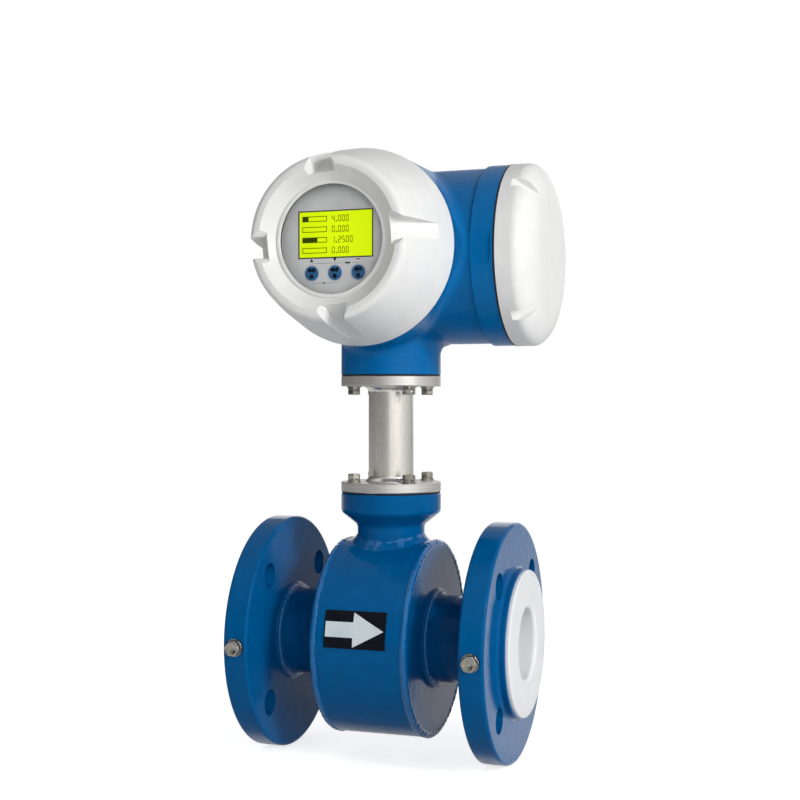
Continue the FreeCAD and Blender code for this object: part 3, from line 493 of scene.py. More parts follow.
class Look(Enum):
    """Every finish on the meter, by the plain name of what it covers."""

    STEEL_PAINT = Coating("thick_blue_steel_paint", linear(0, 84, 140), linear(0, 90, 149), roughness=0.14,
                          rough_spread=0.04, shine=0.05, coat=0.04, edge_coat=0.6,
                          lump_size=9 * MM, lump_height=0.16, grain_size=2.2 * MM, grain_height=0.03)
    WELD_PAINT = Coating("paint_over_weld", linear(0, 90, 150), linear(0, 98, 160), roughness=0.12,
                         rough_spread=0.04, shine=0.3, coat=0.3, lump_size=2.6 * MM, lump_height=0.35,
                         grain_size=0.9 * MM, grain_height=0.05)
    CAST_PAINT = Coating("smooth_blue_cast_paint", linear(0, 97, 158), linear(0, 103, 167), roughness=0.26,
                         shine=0.1, coat=0.06, lump_size=14 * MM, lump_height=0.05, grain_size=0.9 * MM,
                         grain_height=0.008)
    WHITE_PAINT = Coating("white_powder_coat", linear(225, 225, 224), linear(230, 230, 229),
                          roughness=0.32, shine=0.3, lump_size=10 * MM, lump_height=0.05,
                          grain_size=1.0 * MM, grain_height=0.012)
    LINER = Coating("white_fluoropolymer", linear(240, 242, 243), linear(236, 240, 242), roughness=0.38,
                    translucent=0.6, shine=0.3, lump_size=20 * MM, lump_height=0.05,
                    grain_size=2.0 * MM, grain_height=0.01)
    RUBBER = Coating("black_seal_rubber", linear(20, 21, 24), linear(28, 29, 32), roughness=0.6,
                     shine=0.3, lump_height=0.02, grain_size=0.6 * MM, grain_height=0.02)
    PANEL = Coating("grey_panel_film", linear(178, 178, 178), linear(172, 173, 174), roughness=0.42,
                    shine=0.4, lump_size=6 * MM, lump_height=0.0, grain_size=0.25 * MM, grain_height=0.01)
    CASE = Coating("grey_moulded_case", linear(88, 90, 94), linear(80, 82, 86), roughness=0.5,
                   shine=0.4, lump_height=0.02, grain_size=0.5 * MM, grain_height=0.02)
    # painted shade: a near-black ring round the display window stands in for the shadow inside its recess
    WINDOW_SHADE = Coating("painted_window_shade", linear(26, 28, 18), linear(20, 22, 14), roughness=0.4,
                          lump_height=0.0, grain_size=0.4 * MM, grain_height=0.004)
    KEY = Coating("blue_key_lens", linear(34, 84, 124), linear(26, 72, 110), roughness=0.18,
                  shine=0.2, lump_size=3 * MM, lump_height=0.0, grain_size=0.5 * MM, grain_height=0.004)
    KEY_EYE = Coating("dark_key_window", linear(2, 10, 24), linear(2, 8, 20), roughness=0.2, shine=0.1,
                      lump_height=0.0, grain_size=0.5 * MM, grain_height=0.002)
    KEY_HALO = Coating("pale_key_ring", linear(150, 160, 172), linear(144, 154, 166), roughness=0.45,
                       lump_height=0.0, grain_size=0.3 * MM, grain_height=0.006)
    PRINT_DARK = Coating("dark_print", linear(12, 14, 20), linear(16, 18, 24), roughness=0.5, shine=0.2,
                         lump_height=0.0, grain_size=0.3 * MM, grain_height=0.004)
    PRINT_RED = Coating("red_print", linear(150, 70, 84), linear(140, 64, 78), roughness=0.5,
                        lump_height=0.0, grain_size=0.3 * MM, grain_height=0.004)
    LCD_INK = Coating("display_dots", linear(62, 80, 4), linear(54, 72, 4), roughness=0.6, shine=0.0,
                      lump_height=0.0, grain_size=0.3 * MM, grain_height=0.0)
    BOARD = Coating("green_solder_resist", linear(20, 92, 56), linear(16, 80, 48), roughness=0.3,
                    lump_height=0.01, grain_size=0.6 * MM, grain_height=0.01)
    COPPER = Coating("enamelled_winding", linear(160, 84, 40), linear(140, 70, 32), roughness=0.3,
                     lump_height=0.02, grain_size=0.4 * MM, grain_height=0.03)
    SLEEVE = Coating("dark_lead_sleeve", linear(48, 50, 52), linear(40, 42, 44), roughness=0.6,
                     lump_height=0.02, grain_size=0.6 * MM, grain_height=0.02)
    TERMINAL = Coating("dark_terminal_plastic", linear(40, 62, 52), linear(34, 54, 46), roughness=0.45,
                       lump_height=0.01, grain_size=0.6 * MM, grain_height=0.015)
    ARROW_PLATE = Coating("black_arrow_film", linear(8, 12, 22), linear(12, 16, 26), roughness=0.35,
                          shine=0.12, lump_size=8 * MM, lump_height=0.05, grain_size=0.8 * MM,
                          grain_height=0.01)
    ARROW = Coating("white_arrow_film", linear(214, 224, 228), linear(204, 216, 222), roughness=0.4,
                    lump_size=8 * MM, lump_height=0.05, grain_size=0.8 * MM, grain_height=0.01)
    NECK_STEEL = BrushedMetal("brushed_neck_steel", linear(244, 240, 234), linear(220, 216, 208),
                              roughness=0.22, line_size=0.7 * MM, squeeze=(1.0, 1.0, 0.03),
                              depth=0.004)
    FLANGE_STEEL = TurnedMetal("turned_flange_steel", linear(230, 228, 224), linear(204, 201, 196),
                               roughness=0.34)
    ZINC = BrushedMetal("bright_screw_steel", linear(186, 183, 176), linear(136, 132, 124), roughness=0.12,
                        line_size=1.6 * MM, squeeze=(1.0, 1.0, 1.0), depth=0.03)
    NICKEL = TurnedMetal("nickel_plated_brass", linear(204, 198, 180), linear(190, 184, 166),
                         roughness=0.22)
    IRON = BrushedMetal("plain_core_iron", linear(110, 110, 112), linear(90, 90, 92), roughness=0.5)
    GLASS = ClearGlass()


class Finishes:
    """Builds each material the first time it is asked for."""

    def __init__(self) -> None:
        """Starts with the shared shader groups and no material."""
        self.groups = SurfaceGroups()
        self.made: dict[str, bpy.types.Material] = {}

    def get(self, look: Union[Look, Finish]) -> bpy.types.Material:
        """The material for one finish."""
        finish = look.value if isinstance(look, Look) else look
        if finish.name not in self.made:
            self.made[finish.name] = finish.build(self.groups)
        return self.made[finish.name]

    def dress(self, look: Look, *nodes: str) -> None:
        """Gives nodes of the frame their finish."""
        for node in nodes:
            for slot in node_object(node).material_slots:
                slot.material = self.get(look)


# ---------------------------------------------------------------- places

@dataclass(frozen=True)
class Axle:
    """An axis of the object: local x, y and z of a piece, and where its zero lies."""

    x: Triple
    y: Triple
    z: Triple
    origin: Triple = (0.0, 0.0, 0.0)

    def matrix(self) -> Matrix:
        """Turns a piece drawn about its own z axis into its place."""
        columns = Matrix((self.x, self.y, self.z)).transposed().to_4x4()
        return Matrix.Translation(self.origin) @ columns


def centre_of(node: str) -> Vector:
    """Middle of a node's box."""
    low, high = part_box(node)
    return (low + high) / 2.0


def pipe_axis(at_x: float = 0.0) -> Matrix:
    """Local z along the flow."""
    return Axle((0, 1, 0), (0, 0, 1), (1, 0, 0), (at_x, 0.0, 0.0)).matrix()


def neck_axis(at_z: float = 0.0) -> Matrix:
    """Local z up the neck."""
    return Matrix.Translation((0.0, 0.0, at_z))


def display_axis() -> Matrix:
    """Local x to the right, y up and z out of the display, from the display's own axis."""
    height = centre_of("window_glass").z
    return Axle((1, 0, 0), (0, 0, 1), (0, -1, 0), (0.0, 0.0, height)).matrix()


def terminal_axis() -> Matrix:
    """Local z along +X on the axis of the terminal cover."""
    height = centre_of("terminal_cover_seal").z
    return Axle((0, 1, 0), (0, 0, 1), (1, 0, 0), (0.0, 0.0, height)).matrix()


# ---------------------------------------------------------------- meshes

def link(name: str, mesh: bpy.types.Mesh) -> bpy.types.Object:
    """Puts a mesh in the scene under a name."""
    made = bpy.data.objects.new(name, mesh)
    bpy.context.scene.collection.objects.link(made)
    return made


def smooth(mesh: bpy.types.Mesh, angle: float = 32.0) -> None:
    """Shades a mesh smooth, with edges sharper than an angle in degrees kept sharp."""
    mesh.shade_smooth()
    mesh.set_sharp_from_angle(angle=math.radians(angle))


def finished(name: str, shape: bmesh.types.BMesh) -> bpy.types.Mesh:
    """A mesh with the shape that was being edited, which is freed."""
    mesh = bpy.data.meshes.new(name)
    shape.to_mesh(mesh)
    shape.free()
    return mesh


def turned(name: str, outline: Sequence[Point], steps: int = 96) -> bpy.types.Mesh:
    """A closed ring or plug turned about z.

    Args:
        name: name of the mesh.
        outline: closed outline as (radius, height) points.
        steps: number of faces round the axis.

    Returns:
        The mesh, shaded smooth with its faces outwards.
    """
    shape = bmesh.new()
    corners = [shape.verts.new((radius, 0.0, height)) for radius, height in outline]
    edges = [shape.edges.new((corners[n - 1], corners[n])) for n in range(len(corners))]
    bmesh.ops.spin(shape, geom=corners + edges, cent=(0, 0, 0), axis=(0, 0, 1), dvec=(0, 0, 0),
                   angle=math.tau, steps=steps, use_merge=True)
    bmesh.ops.remove_doubles(shape, verts=shape.verts, dist=1e-6)
    bmesh.ops.recalc_face_normals(shape, faces=shape.faces)
    mesh = finished(name, shape)
    smooth(mesh)
    return mesh


def prism(name: str, outline: Sequence[Point], low: float, high: float,
          holes: Sequence[Sequence[Point]] = ()) -> bpy.types.Mesh:
    """A flat plate from an outline in x and y.

    Args:
        name: name of the mesh.
        outline: corners in order.
        low: height of its back.
        high: height of its face.
        holes: outlines left open.

    Returns:
        The closed mesh.
    """
    shape = bmesh.new()
    edges = []
    for ring in (outline, *holes):
        corners = [shape.verts.new((x, y, low)) for x, y in ring]
        edges += [shape.edges.new((corners[n - 1], corners[n])) for n in range(len(corners))]
    face = bmesh.ops.triangle_fill(shape, edges=edges, use_beauty=True)
    flat = [item for item in face["geom"] if isinstance(item, bmesh.types.BMFace)]
    raised = bmesh.ops.extrude_face_region(shape, geom=flat)
    lifted = [item for item in raised["geom"] if isinstance(item, bmesh.types.BMVert)]
    bmesh.ops.translate(shape, verts=lifted, vec=(0, 0, high - low))
    bmesh.ops.recalc_face_normals(shape, faces=shape.faces)
    return finished(name, shape)


def joined(name: str, meshes: Iterable[bpy.types.Mesh]) -> bpy.types.Mesh:
    """Several meshes as one."""
    shape = bmesh.new()
    for mesh in meshes:
        shape.from_mesh(mesh)
    return finished(name, shape)


def ring_points(radius: float, count: int, x: float = 0.0, y: float = 0.0) -> list[Point]:
    """Points evenly round a circle."""
    turns = [math.tau * n / count for n in range(count)]
    return [(x + radius * math.cos(turn), y + radius * math.sin(turn)) for turn in turns]


def box_outline(x0: float, x1: float, y0: float, y1: float) -> list[Point]:
    """Corners of an upright rectangle."""
    return [(x0, y0), (x1, y0), (x1, y1), (x0, y1)]


def closed_line(name: str, points: Sequence[tuple[float, float, float]]) -> bpy.types.Mesh:
    """A closed line of edges as a mesh."""
    mesh = bpy.data.meshes.new(name + "_line")
    edges = [(n, (n + 1) % len(points)) for n in range(len(points))]
    mesh.from_pydata(points, edges, [])
    return mesh


@dataclass(frozen=True)
class HexScrew:
    """Hexagon screw with a turned top and slightly worn edges."""

    across: float
    height: float
    shank_r: float
    shank: float
    dish: float = 0.5 * MM
    foot_chamfer: float = 0.12 * MM
    drops: tuple[float, ...] = (1.1 * MM, 0.6 * MM, 0.4 * MM, 0.25 * MM, 0.12 * MM, 0.0)
    top_circle: float = 0.95
    top_slope: float = 30.0
    steps: int = 72
    corner_power: int = 44
    edge_power: int = 30

    def reach(self, turn: float, height: float) -> float:
        """Distance from the axis to the head's side, at an angle and a height."""
        flats = sum(max(0.0, math.cos(turn - math.radians(30 + 60 * side))) ** self.corner_power
                    for side in range(6))
        side_r = self.across / 2 * flats ** (-1.0 / self.corner_power)
        cone_r = (self.across * self.top_circle / 2 +
                  (self.height - height) / math.tan(math.radians(self.top_slope)))
        power = self.edge_power
        return (side_r ** -power + cone_r ** -power) ** (-1.0 / power)

    def mesh(self, name: str) -> bpy.types.Mesh:
        """The screw, head above z = 0 and shank below it."""
        tops = [self.height - drop for drop in self.drops]
        foot = self.foot_chamfer
        turns = [math.tau * step / self.steps for step in range(self.steps)]
        rings = [[(self.shank_r, z)] * self.steps for z in (-self.shank, 0.0)]
        rings.append([(self.reach(turn, 0.0) - foot, 0.0) for turn in turns])
        rings += [[(self.reach(turn, z), z) for turn in turns] for z in (foot, *tops)]
        hollow = ((0.86, 0.0), (0.7, self.dish / 10), (0.58, self.dish), (0.3, self.dish))
        rings += [[(self.reach(turn, self.height) * share, self.height - dish) for turn in turns]
                  for share, dish in hollow]
        points = [(r * math.cos(turn), r * math.sin(turn), z)
                  for ring in rings for turn, (r, z) in zip(turns, ring)]
        count = self.steps
        faces = [(ring * count + n, ring * count + (n + 1) % count,
                  (ring + 1) * count + (n + 1) % count, (ring + 1) * count + n)
                 for ring in range(len(rings) - 1) for n in range(count)]
        faces += [tuple(range(count))[::-1], tuple(range(len(points) - count, len(points)))]
        mesh = bpy.data.meshes.new(name)
        mesh.from_pydata(points, [], faces)
        smooth(mesh, SCREW_CREASE)
        return mesh


# ---------------------------------------------------------------- geometry trees

class Recipes:
    """Geometry trees for what repeats or follows a path."""

    TURN_STEPS = 96
    CREST_SIDES = 6
    BEAD_SIDES = 16
    POINTS_PER_RIPPLE = 6
    WANDER_SCALE = 120.0

    def __init__(self) -> None:
        """Builds each tree once."""
        self.around = self.build_around()
        self.ridge = self.build_ridge()
        self.bead = self.build_bead()
        self.dots = self.build_dots()

    @staticmethod
    def start(name: str, inputs: Sequence[tuple[str, str, Any]]) -> Tree:
        """Starts a geometry tree with a geometry input, named inputs and a geometry output."""
        return new_group(name, [("Geometry", "NodeSocketGeometry", None), *inputs,
                                ("Material", "NodeSocketMaterial", None)],
                         [("Geometry", "NodeSocketGeometry")], "GeometryNodeTree")

    @staticmethod
    def close(group: Tree, geometry: Socket) -> bpy.types.NodeTree:
        """Ends a tree with real geometry that carries its material."""
        given = group.tree.nodes["in"].outputs
        real = group.add("GeometryNodeRealizeInstances", {0: geometry})
        painted = group.add("GeometryNodeSetMaterial", {
            "Geometry": real.outputs[0], "Material": given["Material"]})
        group.join(painted.outputs[0], group.tree.nodes["out"].inputs["Geometry"])
        return group.tree

    @classmethod
    def build_around(cls) -> bpy.types.NodeTree:
        """Copies of the given part, evenly round the z axis."""
        group = cls.start("parts_around_axis", [
            ("Count", "NodeSocketInt", 4), ("Radius", "NodeSocketFloat", 0.03),
            ("Start", "NodeSocketFloat", 0.0)])
        given = group.tree.nodes["in"].outputs
        line = group.add("GeometryNodeMeshLine", {"Count": given["Count"]})
        index = group.add("GeometryNodeInputIndex").outputs[0]
        step = group.math("DIVIDE", math.tau, given["Count"])
        turn = group.math("MULTIPLY_ADD", index, step, given["Start"])
        place = group.add("ShaderNodeCombineXYZ", {
            "X": group.math("MULTIPLY", group.math("COSINE", turn), given["Radius"]),
            "Y": group.math("MULTIPLY", group.math("SINE", turn), given["Radius"])})
        moved = group.add("GeometryNodeSetPosition", {
            "Geometry": line.outputs[0], "Position": place.outputs[0]})
        spin = group.add("ShaderNodeCombineXYZ", {"Z": turn})
        copies = group.add("GeometryNodeInstanceOnPoints", {
            "Points": moved.outputs[0], "Instance": given["Geometry"], "Rotation": spin.outputs[0]})
        return cls.close(group, copies.outputs[0])

    @classmethod
    def build_ridge(cls) -> bpy.types.NodeTree:
        """Crest of a screw thread along the z axis."""
        group = cls.start("thread_crest", [
            ("Turns", "NodeSocketFloat", 5.0), ("Pitch", "NodeSocketFloat", 0.002),
            ("Radius", "NodeSocketFloat", 0.05), ("Crest", "NodeSocketFloat", 0.0003)])
        given = group.tree.nodes["in"].outputs
        spiral = group.add("GeometryNodeCurveSpiral", {
            "Resolution": cls.TURN_STEPS, "Rotations": given["Turns"], "Start Radius": given["Radius"],
            "End Radius": given["Radius"],
            "Height": group.math("MULTIPLY", given["Turns"], given["Pitch"])})
        profile = group.add("GeometryNodeCurvePrimitiveCircle", {
            "Resolution": cls.CREST_SIDES, "Radius": given["Crest"]})
        swept = group.add("GeometryNodeCurveToMesh", {
            "Curve": spiral.outputs[0], "Profile Curve": profile.outputs[0], "Fill Caps": True})
        return cls.close(group, swept.outputs[0])

    @classmethod
    def build_bead(cls) -> bpy.types.NodeTree:
        """Weld bead along the given closed line, with the ripples of its runs."""
        group = cls.start("weld_bead", [
            ("Thickness", "NodeSocketFloat", 0.003), ("Ripples", "NodeSocketInt", 60),
            ("Ripple Depth", "NodeSocketFloat", 0.0003), ("Wander", "NodeSocketFloat", 0.0006)])
        given = group.tree.nodes["in"].outputs
        line = group.add("GeometryNodeMeshToCurve", {0: given["Geometry"]})
        even = group.add("GeometryNodeResampleCurve", {
            "Curve": line.outputs[0],
            "Count": group.math("MULTIPLY", given["Ripples"], cls.POINTS_PER_RIPPLE)})
        length = group.add("GeometryNodeSplineParameter").outputs["Factor"]
        marked = group.add("GeometryNodeStoreNamedAttribute", {
            "Geometry": even.outputs[0], "Name": "run", "Value": length})
        profile = group.add("GeometryNodeCurvePrimitiveCircle", {
            "Resolution": cls.BEAD_SIDES, "Radius": given["Thickness"]})
        swept = group.add("GeometryNodeCurveToMesh", {
            "Curve": marked.outputs[0], "Profile Curve": profile.outputs[0]})
        run = group.add("GeometryNodeInputNamedAttribute", {"Name": "run"}).outputs[0]
        turns = group.math("MULTIPLY", group.math("MULTIPLY", run, math.tau), given["Ripples"])
        ripple = group.math("MULTIPLY", group.math("SINE", turns), given["Ripple Depth"])
        place = group.add("GeometryNodeInputPosition").outputs[0]
        uneven = group.add("ShaderNodeTexNoise", {
            "Vector": place, "Scale": cls.WANDER_SCALE, "Detail": 1.0})
        offset = group.math("SUBTRACT", uneven.outputs["Fac"], 0.5)
        swell = group.math("MULTIPLY_ADD", offset, given["Wander"], ripple)
        normal = group.add("GeometryNodeInputNormal").outputs[0]
        push = group.add("ShaderNodeVectorMath", {0: normal, "Scale": swell}, operation="SCALE")
        shaped = group.add("GeometryNodeSetPosition", {
            "Geometry": swept.outputs[0], "Offset": push.outputs[0]})
        smoothed = group.add("GeometryNodeSetShadeSmooth", {0: shaped.outputs[0]})
        return cls.close(group, smoothed.outputs[0])

    @classmethod
    def build_dots(cls) -> bpy.types.NodeTree:
        """A small square block on every point of the given mesh."""
        group = cls.start("dot_matrix", [
            ("Dot", "NodeSocketFloat", 0.0002), ("Thickness", "NodeSocketFloat", 0.00005)])
        given = group.tree.nodes["in"].outputs
        size = group.add("ShaderNodeCombineXYZ", {
            "X": given["Dot"], "Y": given["Dot"], "Z": given["Thickness"]})
        block = group.add("GeometryNodeMeshCube", {"Size": size.outputs[0]})
        copies = group.add("GeometryNodeInstanceOnPoints", {
            "Points": given["Geometry"], "Instance": block.outputs["Mesh"]})
        return cls.close(group, copies.outputs[0])

    def grow(self, name: str, tree: bpy.types.NodeTree, inputs: dict[str, Any],
             base: bpy.types.Mesh | None = None) -> bpy.types.Mesh:
        """Runs a tree once.

        Args:
            name: name of the resulting mesh.
            tree: one of the trees above.
            inputs: values of its named inputs.
            base: mesh that goes into the tree.

        Returns:
            The result as a plain mesh.
        """
        maker = link(name + "_maker", base or bpy.data.meshes.new(name + "_seed"))
        modifier = maker.modifiers.new("recipe", "NODES")
        modifier.node_group = tree
        for item in tree.interface.items_tree:
            if item.item_type == "SOCKET" and item.in_out == "INPUT" and item.name in inputs:
                modifier[item.identifier] = inputs[item.name]
        graph = bpy.context.evaluated_depsgraph_get()
        mesh = bpy.data.meshes.new_from_object(maker.evaluated_get(graph))
        mesh.name = name
        bpy.data.objects.remove(maker)
        return mesh


# ---------------------------------------------------------------- workshop

class Workshop:
    """What every sub-assembly needs: the finishes, the geometry trees and the way to fit a piece."""

    def __init__(self) -> None:
        """Builds the finishes and the trees."""
        self.finishes = Finishes()
        self.recipes = Recipes()

    def fit(self, name: str, mesh: bpy.types.Mesh, place: Matrix, look: Union[Look, Finish], body: Body,
            slot: str, replaces: Sequence[str] = ()) -> bpy.types.Object:
        """Puts a finished mesh on the object.

        Args:
            name: name of the piece.
            mesh: its mesh, drawn in local axes.
            place: matrix that carries the mesh to its place.
            look: its finish.
            body: the body that it rides on.
            slot: the record's material slot; not used.
            replaces: nodes of the frame that it stands for.

        Returns:
            The piece.
        """
        mesh.transform(place)
        mesh.materials.clear()
        mesh.materials.append(self.finishes.get(look))
        for polygon in mesh.polygons:
            polygon.material_index = 0
        piece = link(name, mesh)
        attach(piece, body.value)
        if replaces:
            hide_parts(*replaces)
        log.info("%s: %d faces on %s", name, len(mesh.polygons), body.value)
        return piece


# ---------------------------------------------------------------- sub-assemblies

@dataclass
class TubeAndHousing:
    """Lined tube with its flanges and earth screws, the coil housing and the arrow on it."""

    shop: Workshop
    weld_ring_r: float = 31.8 * MM
    weld_leg_middle: float = 1.7 * MM
    weld_leg: float = 5 * MM
    bead_r: float = 2.3 * MM
    ripples: int = 70
    rim_sink: float = 2.2 * MM
    rim_bead_r: float = 2.85 * MM
    socket_r: float = 23.8 * MM
    saddle_leg: float = 5.0 * MM
    sink: float = 0.3 * MM
    ripple_depth: float = 0.12 * MM
    wander: float = 0.9 * MM
    ring_steps: int = 96
    saddle_around: int = 240
    saddle_across: int = 10
    saddle_ripples: int = 60
    saddle_waves: tuple[Triple, ...] = ((0.1, 7.3, 0.0), (0.07, 19.0, 1.0))
    earth_across: float = 10.0 * MM
    earth_head: float = 4.2 * MM
    earth_shank_r: float = 2.45 * MM

    def build(self) -> None:
        """Dresses the nodes, lays the weld beads and sets the earth screws."""
        finishes = self.shop.finishes
        finishes.dress(Look.STEEL_PAINT, "inlet_flange", "outlet_flange", "coil_housing",
                       "housing_neck", "measuring_tube")
        finishes.dress(Look.LINER, "pipe_liner", "electrode_insulators")
        finishes.dress(Look.ZINC, "electrodes", "electrode_nuts", "earth_washers")
        finishes.dress(Look.IRON, "pole_pieces", "return_yoke")
        finishes.dress(Look.COPPER, "coil_windings")
        finishes.dress(Look.ARROW_PLATE, "flow_arrow_plate")
        finishes.dress(Look.ARROW, "flow_arrow")
        self.pipe_welds()
        self.saddle_weld()
        self.earth_screws()

    def earth_screws(self) -> None:
        """A hexagon screw on the rim of each flange."""
        low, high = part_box("earth_screws")
        screw = HexScrew(self.earth_across, self.earth_head, self.earth_shank_r,
                         high.y - low.y - self.earth_head)
        meshes = []
        for side in (-1, 1):
            mesh = screw.mesh("earth_screw")
            at_x = side * (high.x - self.earth_across / math.sqrt(3.0))
            mesh.transform(Axle((1, 0, 0), (0, 0, 1), (0, -1, 0),
                                (at_x, low.y + self.earth_head, 0.0)).matrix())
            meshes.append(mesh)
        both = joined("earth_hexagon_screws", meshes)
        smooth(both, SCREW_CREASE)
        self.shop.fit("earth_hexagon_screws", both, Matrix(), Look.ZINC, Body.METER, "zinc_steel",
                      ["earth_screws"])

    def pipe_welds(self) -> None:
        """A ring of weld behind each flange and at each end of the housing."""
        flange_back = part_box("outlet_flange")[0].x + self.weld_leg
        housing_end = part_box("coil_housing")[1].x - self.weld_leg
        places = {"outlet_flange_weld": flange_back - self.weld_leg_middle,
                  "outlet_housing_weld": housing_end + self.weld_leg_middle,
                  "inlet_housing_weld": -housing_end - self.weld_leg_middle,
                  "inlet_flange_weld": self.weld_leg_middle - flange_back}
        for name, at_x in places.items():
            self.weld(name, self.weld_ring_r, at_x, self.bead_r)
        rim_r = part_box("coil_housing")[1].y - self.rim_sink
        rim_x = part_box("coil_housing")[1].x - self.weld_leg - self.rim_sink
        for name, side in (("inlet_shell_weld", -1), ("outlet_shell_weld", 1)):
            self.weld(name, rim_r, side * rim_x, self.rim_bead_r)

    def weld(self, name: str, radius: float, at_x: float, thickness: float) -> None:
        """One painted weld bead round the pipe's axis."""
        ring = closed_line(name, [(*point, 0.0) for point in ring_points(radius, self.ring_steps)])
        bead = self.shop.recipes.grow(name, self.shop.recipes.bead, {
            "Thickness": thickness, "Ripples": self.ripples, "Ripple Depth": self.ripple_depth,
            "Wander": self.wander}, ring)
        self.shop.fit(name, bead, pipe_axis(at_x), Look.WELD_PAINT, Body.METER, "blue_steel_paint")

    def saddle_weld(self) -> None:
        """The painted weld where the neck socket stands on the round housing."""
        drum_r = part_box("coil_housing")[1].y
        around, across = self.saddle_around, self.saddle_across
        points = []
        for step_round, (x, y) in enumerate(ring_points(1.0, around)):
            turn = step_round * math.tau / around
            uneven = sum(share * math.sin(waves * turn + start)
                         for share, waves, start in self.saddle_waves)
            leg = self.saddle_leg * (1.0 + uneven)
            for step in range(across + 1):
                share = step / across
                reach = self.socket_r - self.sink + (leg + self.sink) * share
                foot = math.sqrt(drum_r ** 2 - (y * (self.socket_r + leg * share)) ** 2)
                rise = (leg + self.sink) * (1.0 - share) ** 2 - self.sink * share
                ripple = (self.ripple_depth * math.sin(self.saddle_ripples * turn) *
                          math.sin(math.pi * share))
                points.append((x * reach, y * reach, foot + rise + ripple))
        faces = [(a * (across + 1) + b, a * (across + 1) + b + 1,
                  (a + 1) % around * (across + 1) + b + 1, (a + 1) % around * (across + 1) + b)
                 for a in range(around) for b in range(across)]
        mesh = bpy.data.meshes.new("neck_saddle_weld")
        mesh.from_pydata(points, [], [face[::-1] for face in faces])
        smooth(mesh, WELD_CREASE)
        self.shop.fit("neck_saddle_weld", mesh, Matrix(), Look.WELD_PAINT, Body.METER,
                      "blue_steel_paint")


@dataclass
class Neck:
    """Stainless neck with its gaskets and its eight screws."""

    shop: Workshop
    screw_circle_r: float = 28.7 * MM
    head_across: float = 8.0 * MM
    head_height: float = 4.0 * MM
    shank_r: float = 2.45 * MM
    count: int = 4
    first_turn: float = 45.0

    def screws(self, level: str, turned_over: bool) -> None:
        """Four hexagon screws of one flange.

        Args:
            level: lower or upper.
            turned_over: whether they hang under their flange.
        """
        node = f"{level}_neck_screws"
        low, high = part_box(node)
        screw = HexScrew(self.head_across, self.head_height, self.shank_r,
                         high.z - low.z - self.head_height)
        four = self.shop.recipes.grow(f"{level}_hexagon_screws", self.shop.recipes.around, {
            "Count": self.count, "Radius": self.screw_circle_r, "Start": math.radians(self.first_turn)},
            screw.mesh("hexagon_screw"))
        smooth(four, SCREW_CREASE)
        base = low.z + self.head_height if turned_over else high.z - self.head_height
        place = neck_axis(base) @ Matrix.Rotation(math.pi if turned_over else 0.0, 4, "X")
        self.shop.fit(f"{level}_hexagon_screws", four, place, Look.ZINC, Body.METER, "zinc_steel", [node])

    def build(self) -> None:
        """Dresses the nodes and sets the hexagon heads."""
        finishes = self.shop.finishes
        finishes.dress(Look.NECK_STEEL, "neck_tube")
        finishes.dress(Look.FLANGE_STEEL, "lower_neck_flange", "upper_neck_flange")
        finishes.dress(Look.RUBBER, "lower_neck_gasket", "upper_neck_gasket")
        finishes.dress(Look.SLEEVE, "lead_bundle")
        for level in ("lower", "upper"):
            finishes.dress(Look.ZINC, f"{level}_neck_spring_washers", f"{level}_neck_plain_washers")
            self.screws(level, level == "upper")


@dataclass
class Converter:
    """Cast housing with its threads, glands and inner boards."""

    shop: Workshop
    pitch: float = 2.0 * MM
    crest: float = 0.28 * MM
    display_spigot_r: float = 58.4 * MM
    terminal_spigot_r: float = 54.4 * MM
    thread_margin: float = 1.6 * MM

    def build(self) -> None:
        """Dresses the nodes and lays the thread crests of both spigots."""
        finishes = self.shop.finishes
        finishes.dress(Look.CAST_PAINT, "converter_housing")
        finishes.dress(Look.TERMINAL, "terminal_plate", "terminal_block")
        finishes.dress(Look.ZINC, "terminal_screws", "terminal_plate_screws", "board_screws",
                       "board_posts", "display_posts")
        finishes.dress(Look.BOARD, "main_board", "power_board")
        finishes.dress(Look.NICKEL, "gland_bodies", "gland_nuts")
        finishes.dress(Look.RUBBER, "gland_washers", "gland_seals", "display_cover_seal",
                       "terminal_cover_seal")
        self.threads()

    def threads(self) -> None:
        """Thread crests of both spigots, in sight once a cover is turned off."""
        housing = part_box("converter_housing")
        display_front = -housing[0].y
        display_seal = -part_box("display_cover_seal")[0].y
        self.thread("display_spigot_thread", display_axis(), self.display_spigot_r,
                    display_seal, display_front)
        terminal_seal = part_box("terminal_cover_seal")[1].x
        self.thread("terminal_spigot_thread", terminal_axis(), self.terminal_spigot_r,
                    terminal_seal, housing[1].x)

    def thread(self, name: str, axis: Matrix, radius: float, start: float, end: float) -> None:
        """One thread.

        Args:
            name: name of the piece.
            axis: axis of the spigot.
            radius: radius of its root.
            start: height of the seal.
            end: height of the spigot's end.
        """
        turns = (end - start - 2 * self.thread_margin) / self.pitch
        crest = self.shop.recipes.grow(name, self.shop.recipes.ridge, {
            "Turns": turns, "Pitch": self.pitch, "Radius": radius, "Crest": self.crest})
        place = axis @ Matrix.Translation((0.0, 0.0, start + self.thread_margin))
        self.shop.fit(name, crest, place, Look.CAST_PAINT, Body.METER, "blue_cast_paint")


SEGMENTS = {"0": "abcdef", "1": "bc", "2": "abdeg", "3": "abcdg", "4": "bcfg", "5": "acdfg",
            "6": "acdefg", "7": "abc", "8": "abcdefg", "9": "abcdfg"}
FIGURE_MIDDLE = 5
FIGURE_STEP, POINT_STEP = 7, 4
KEY_SIDES, EYE_SIDES = 48, 24


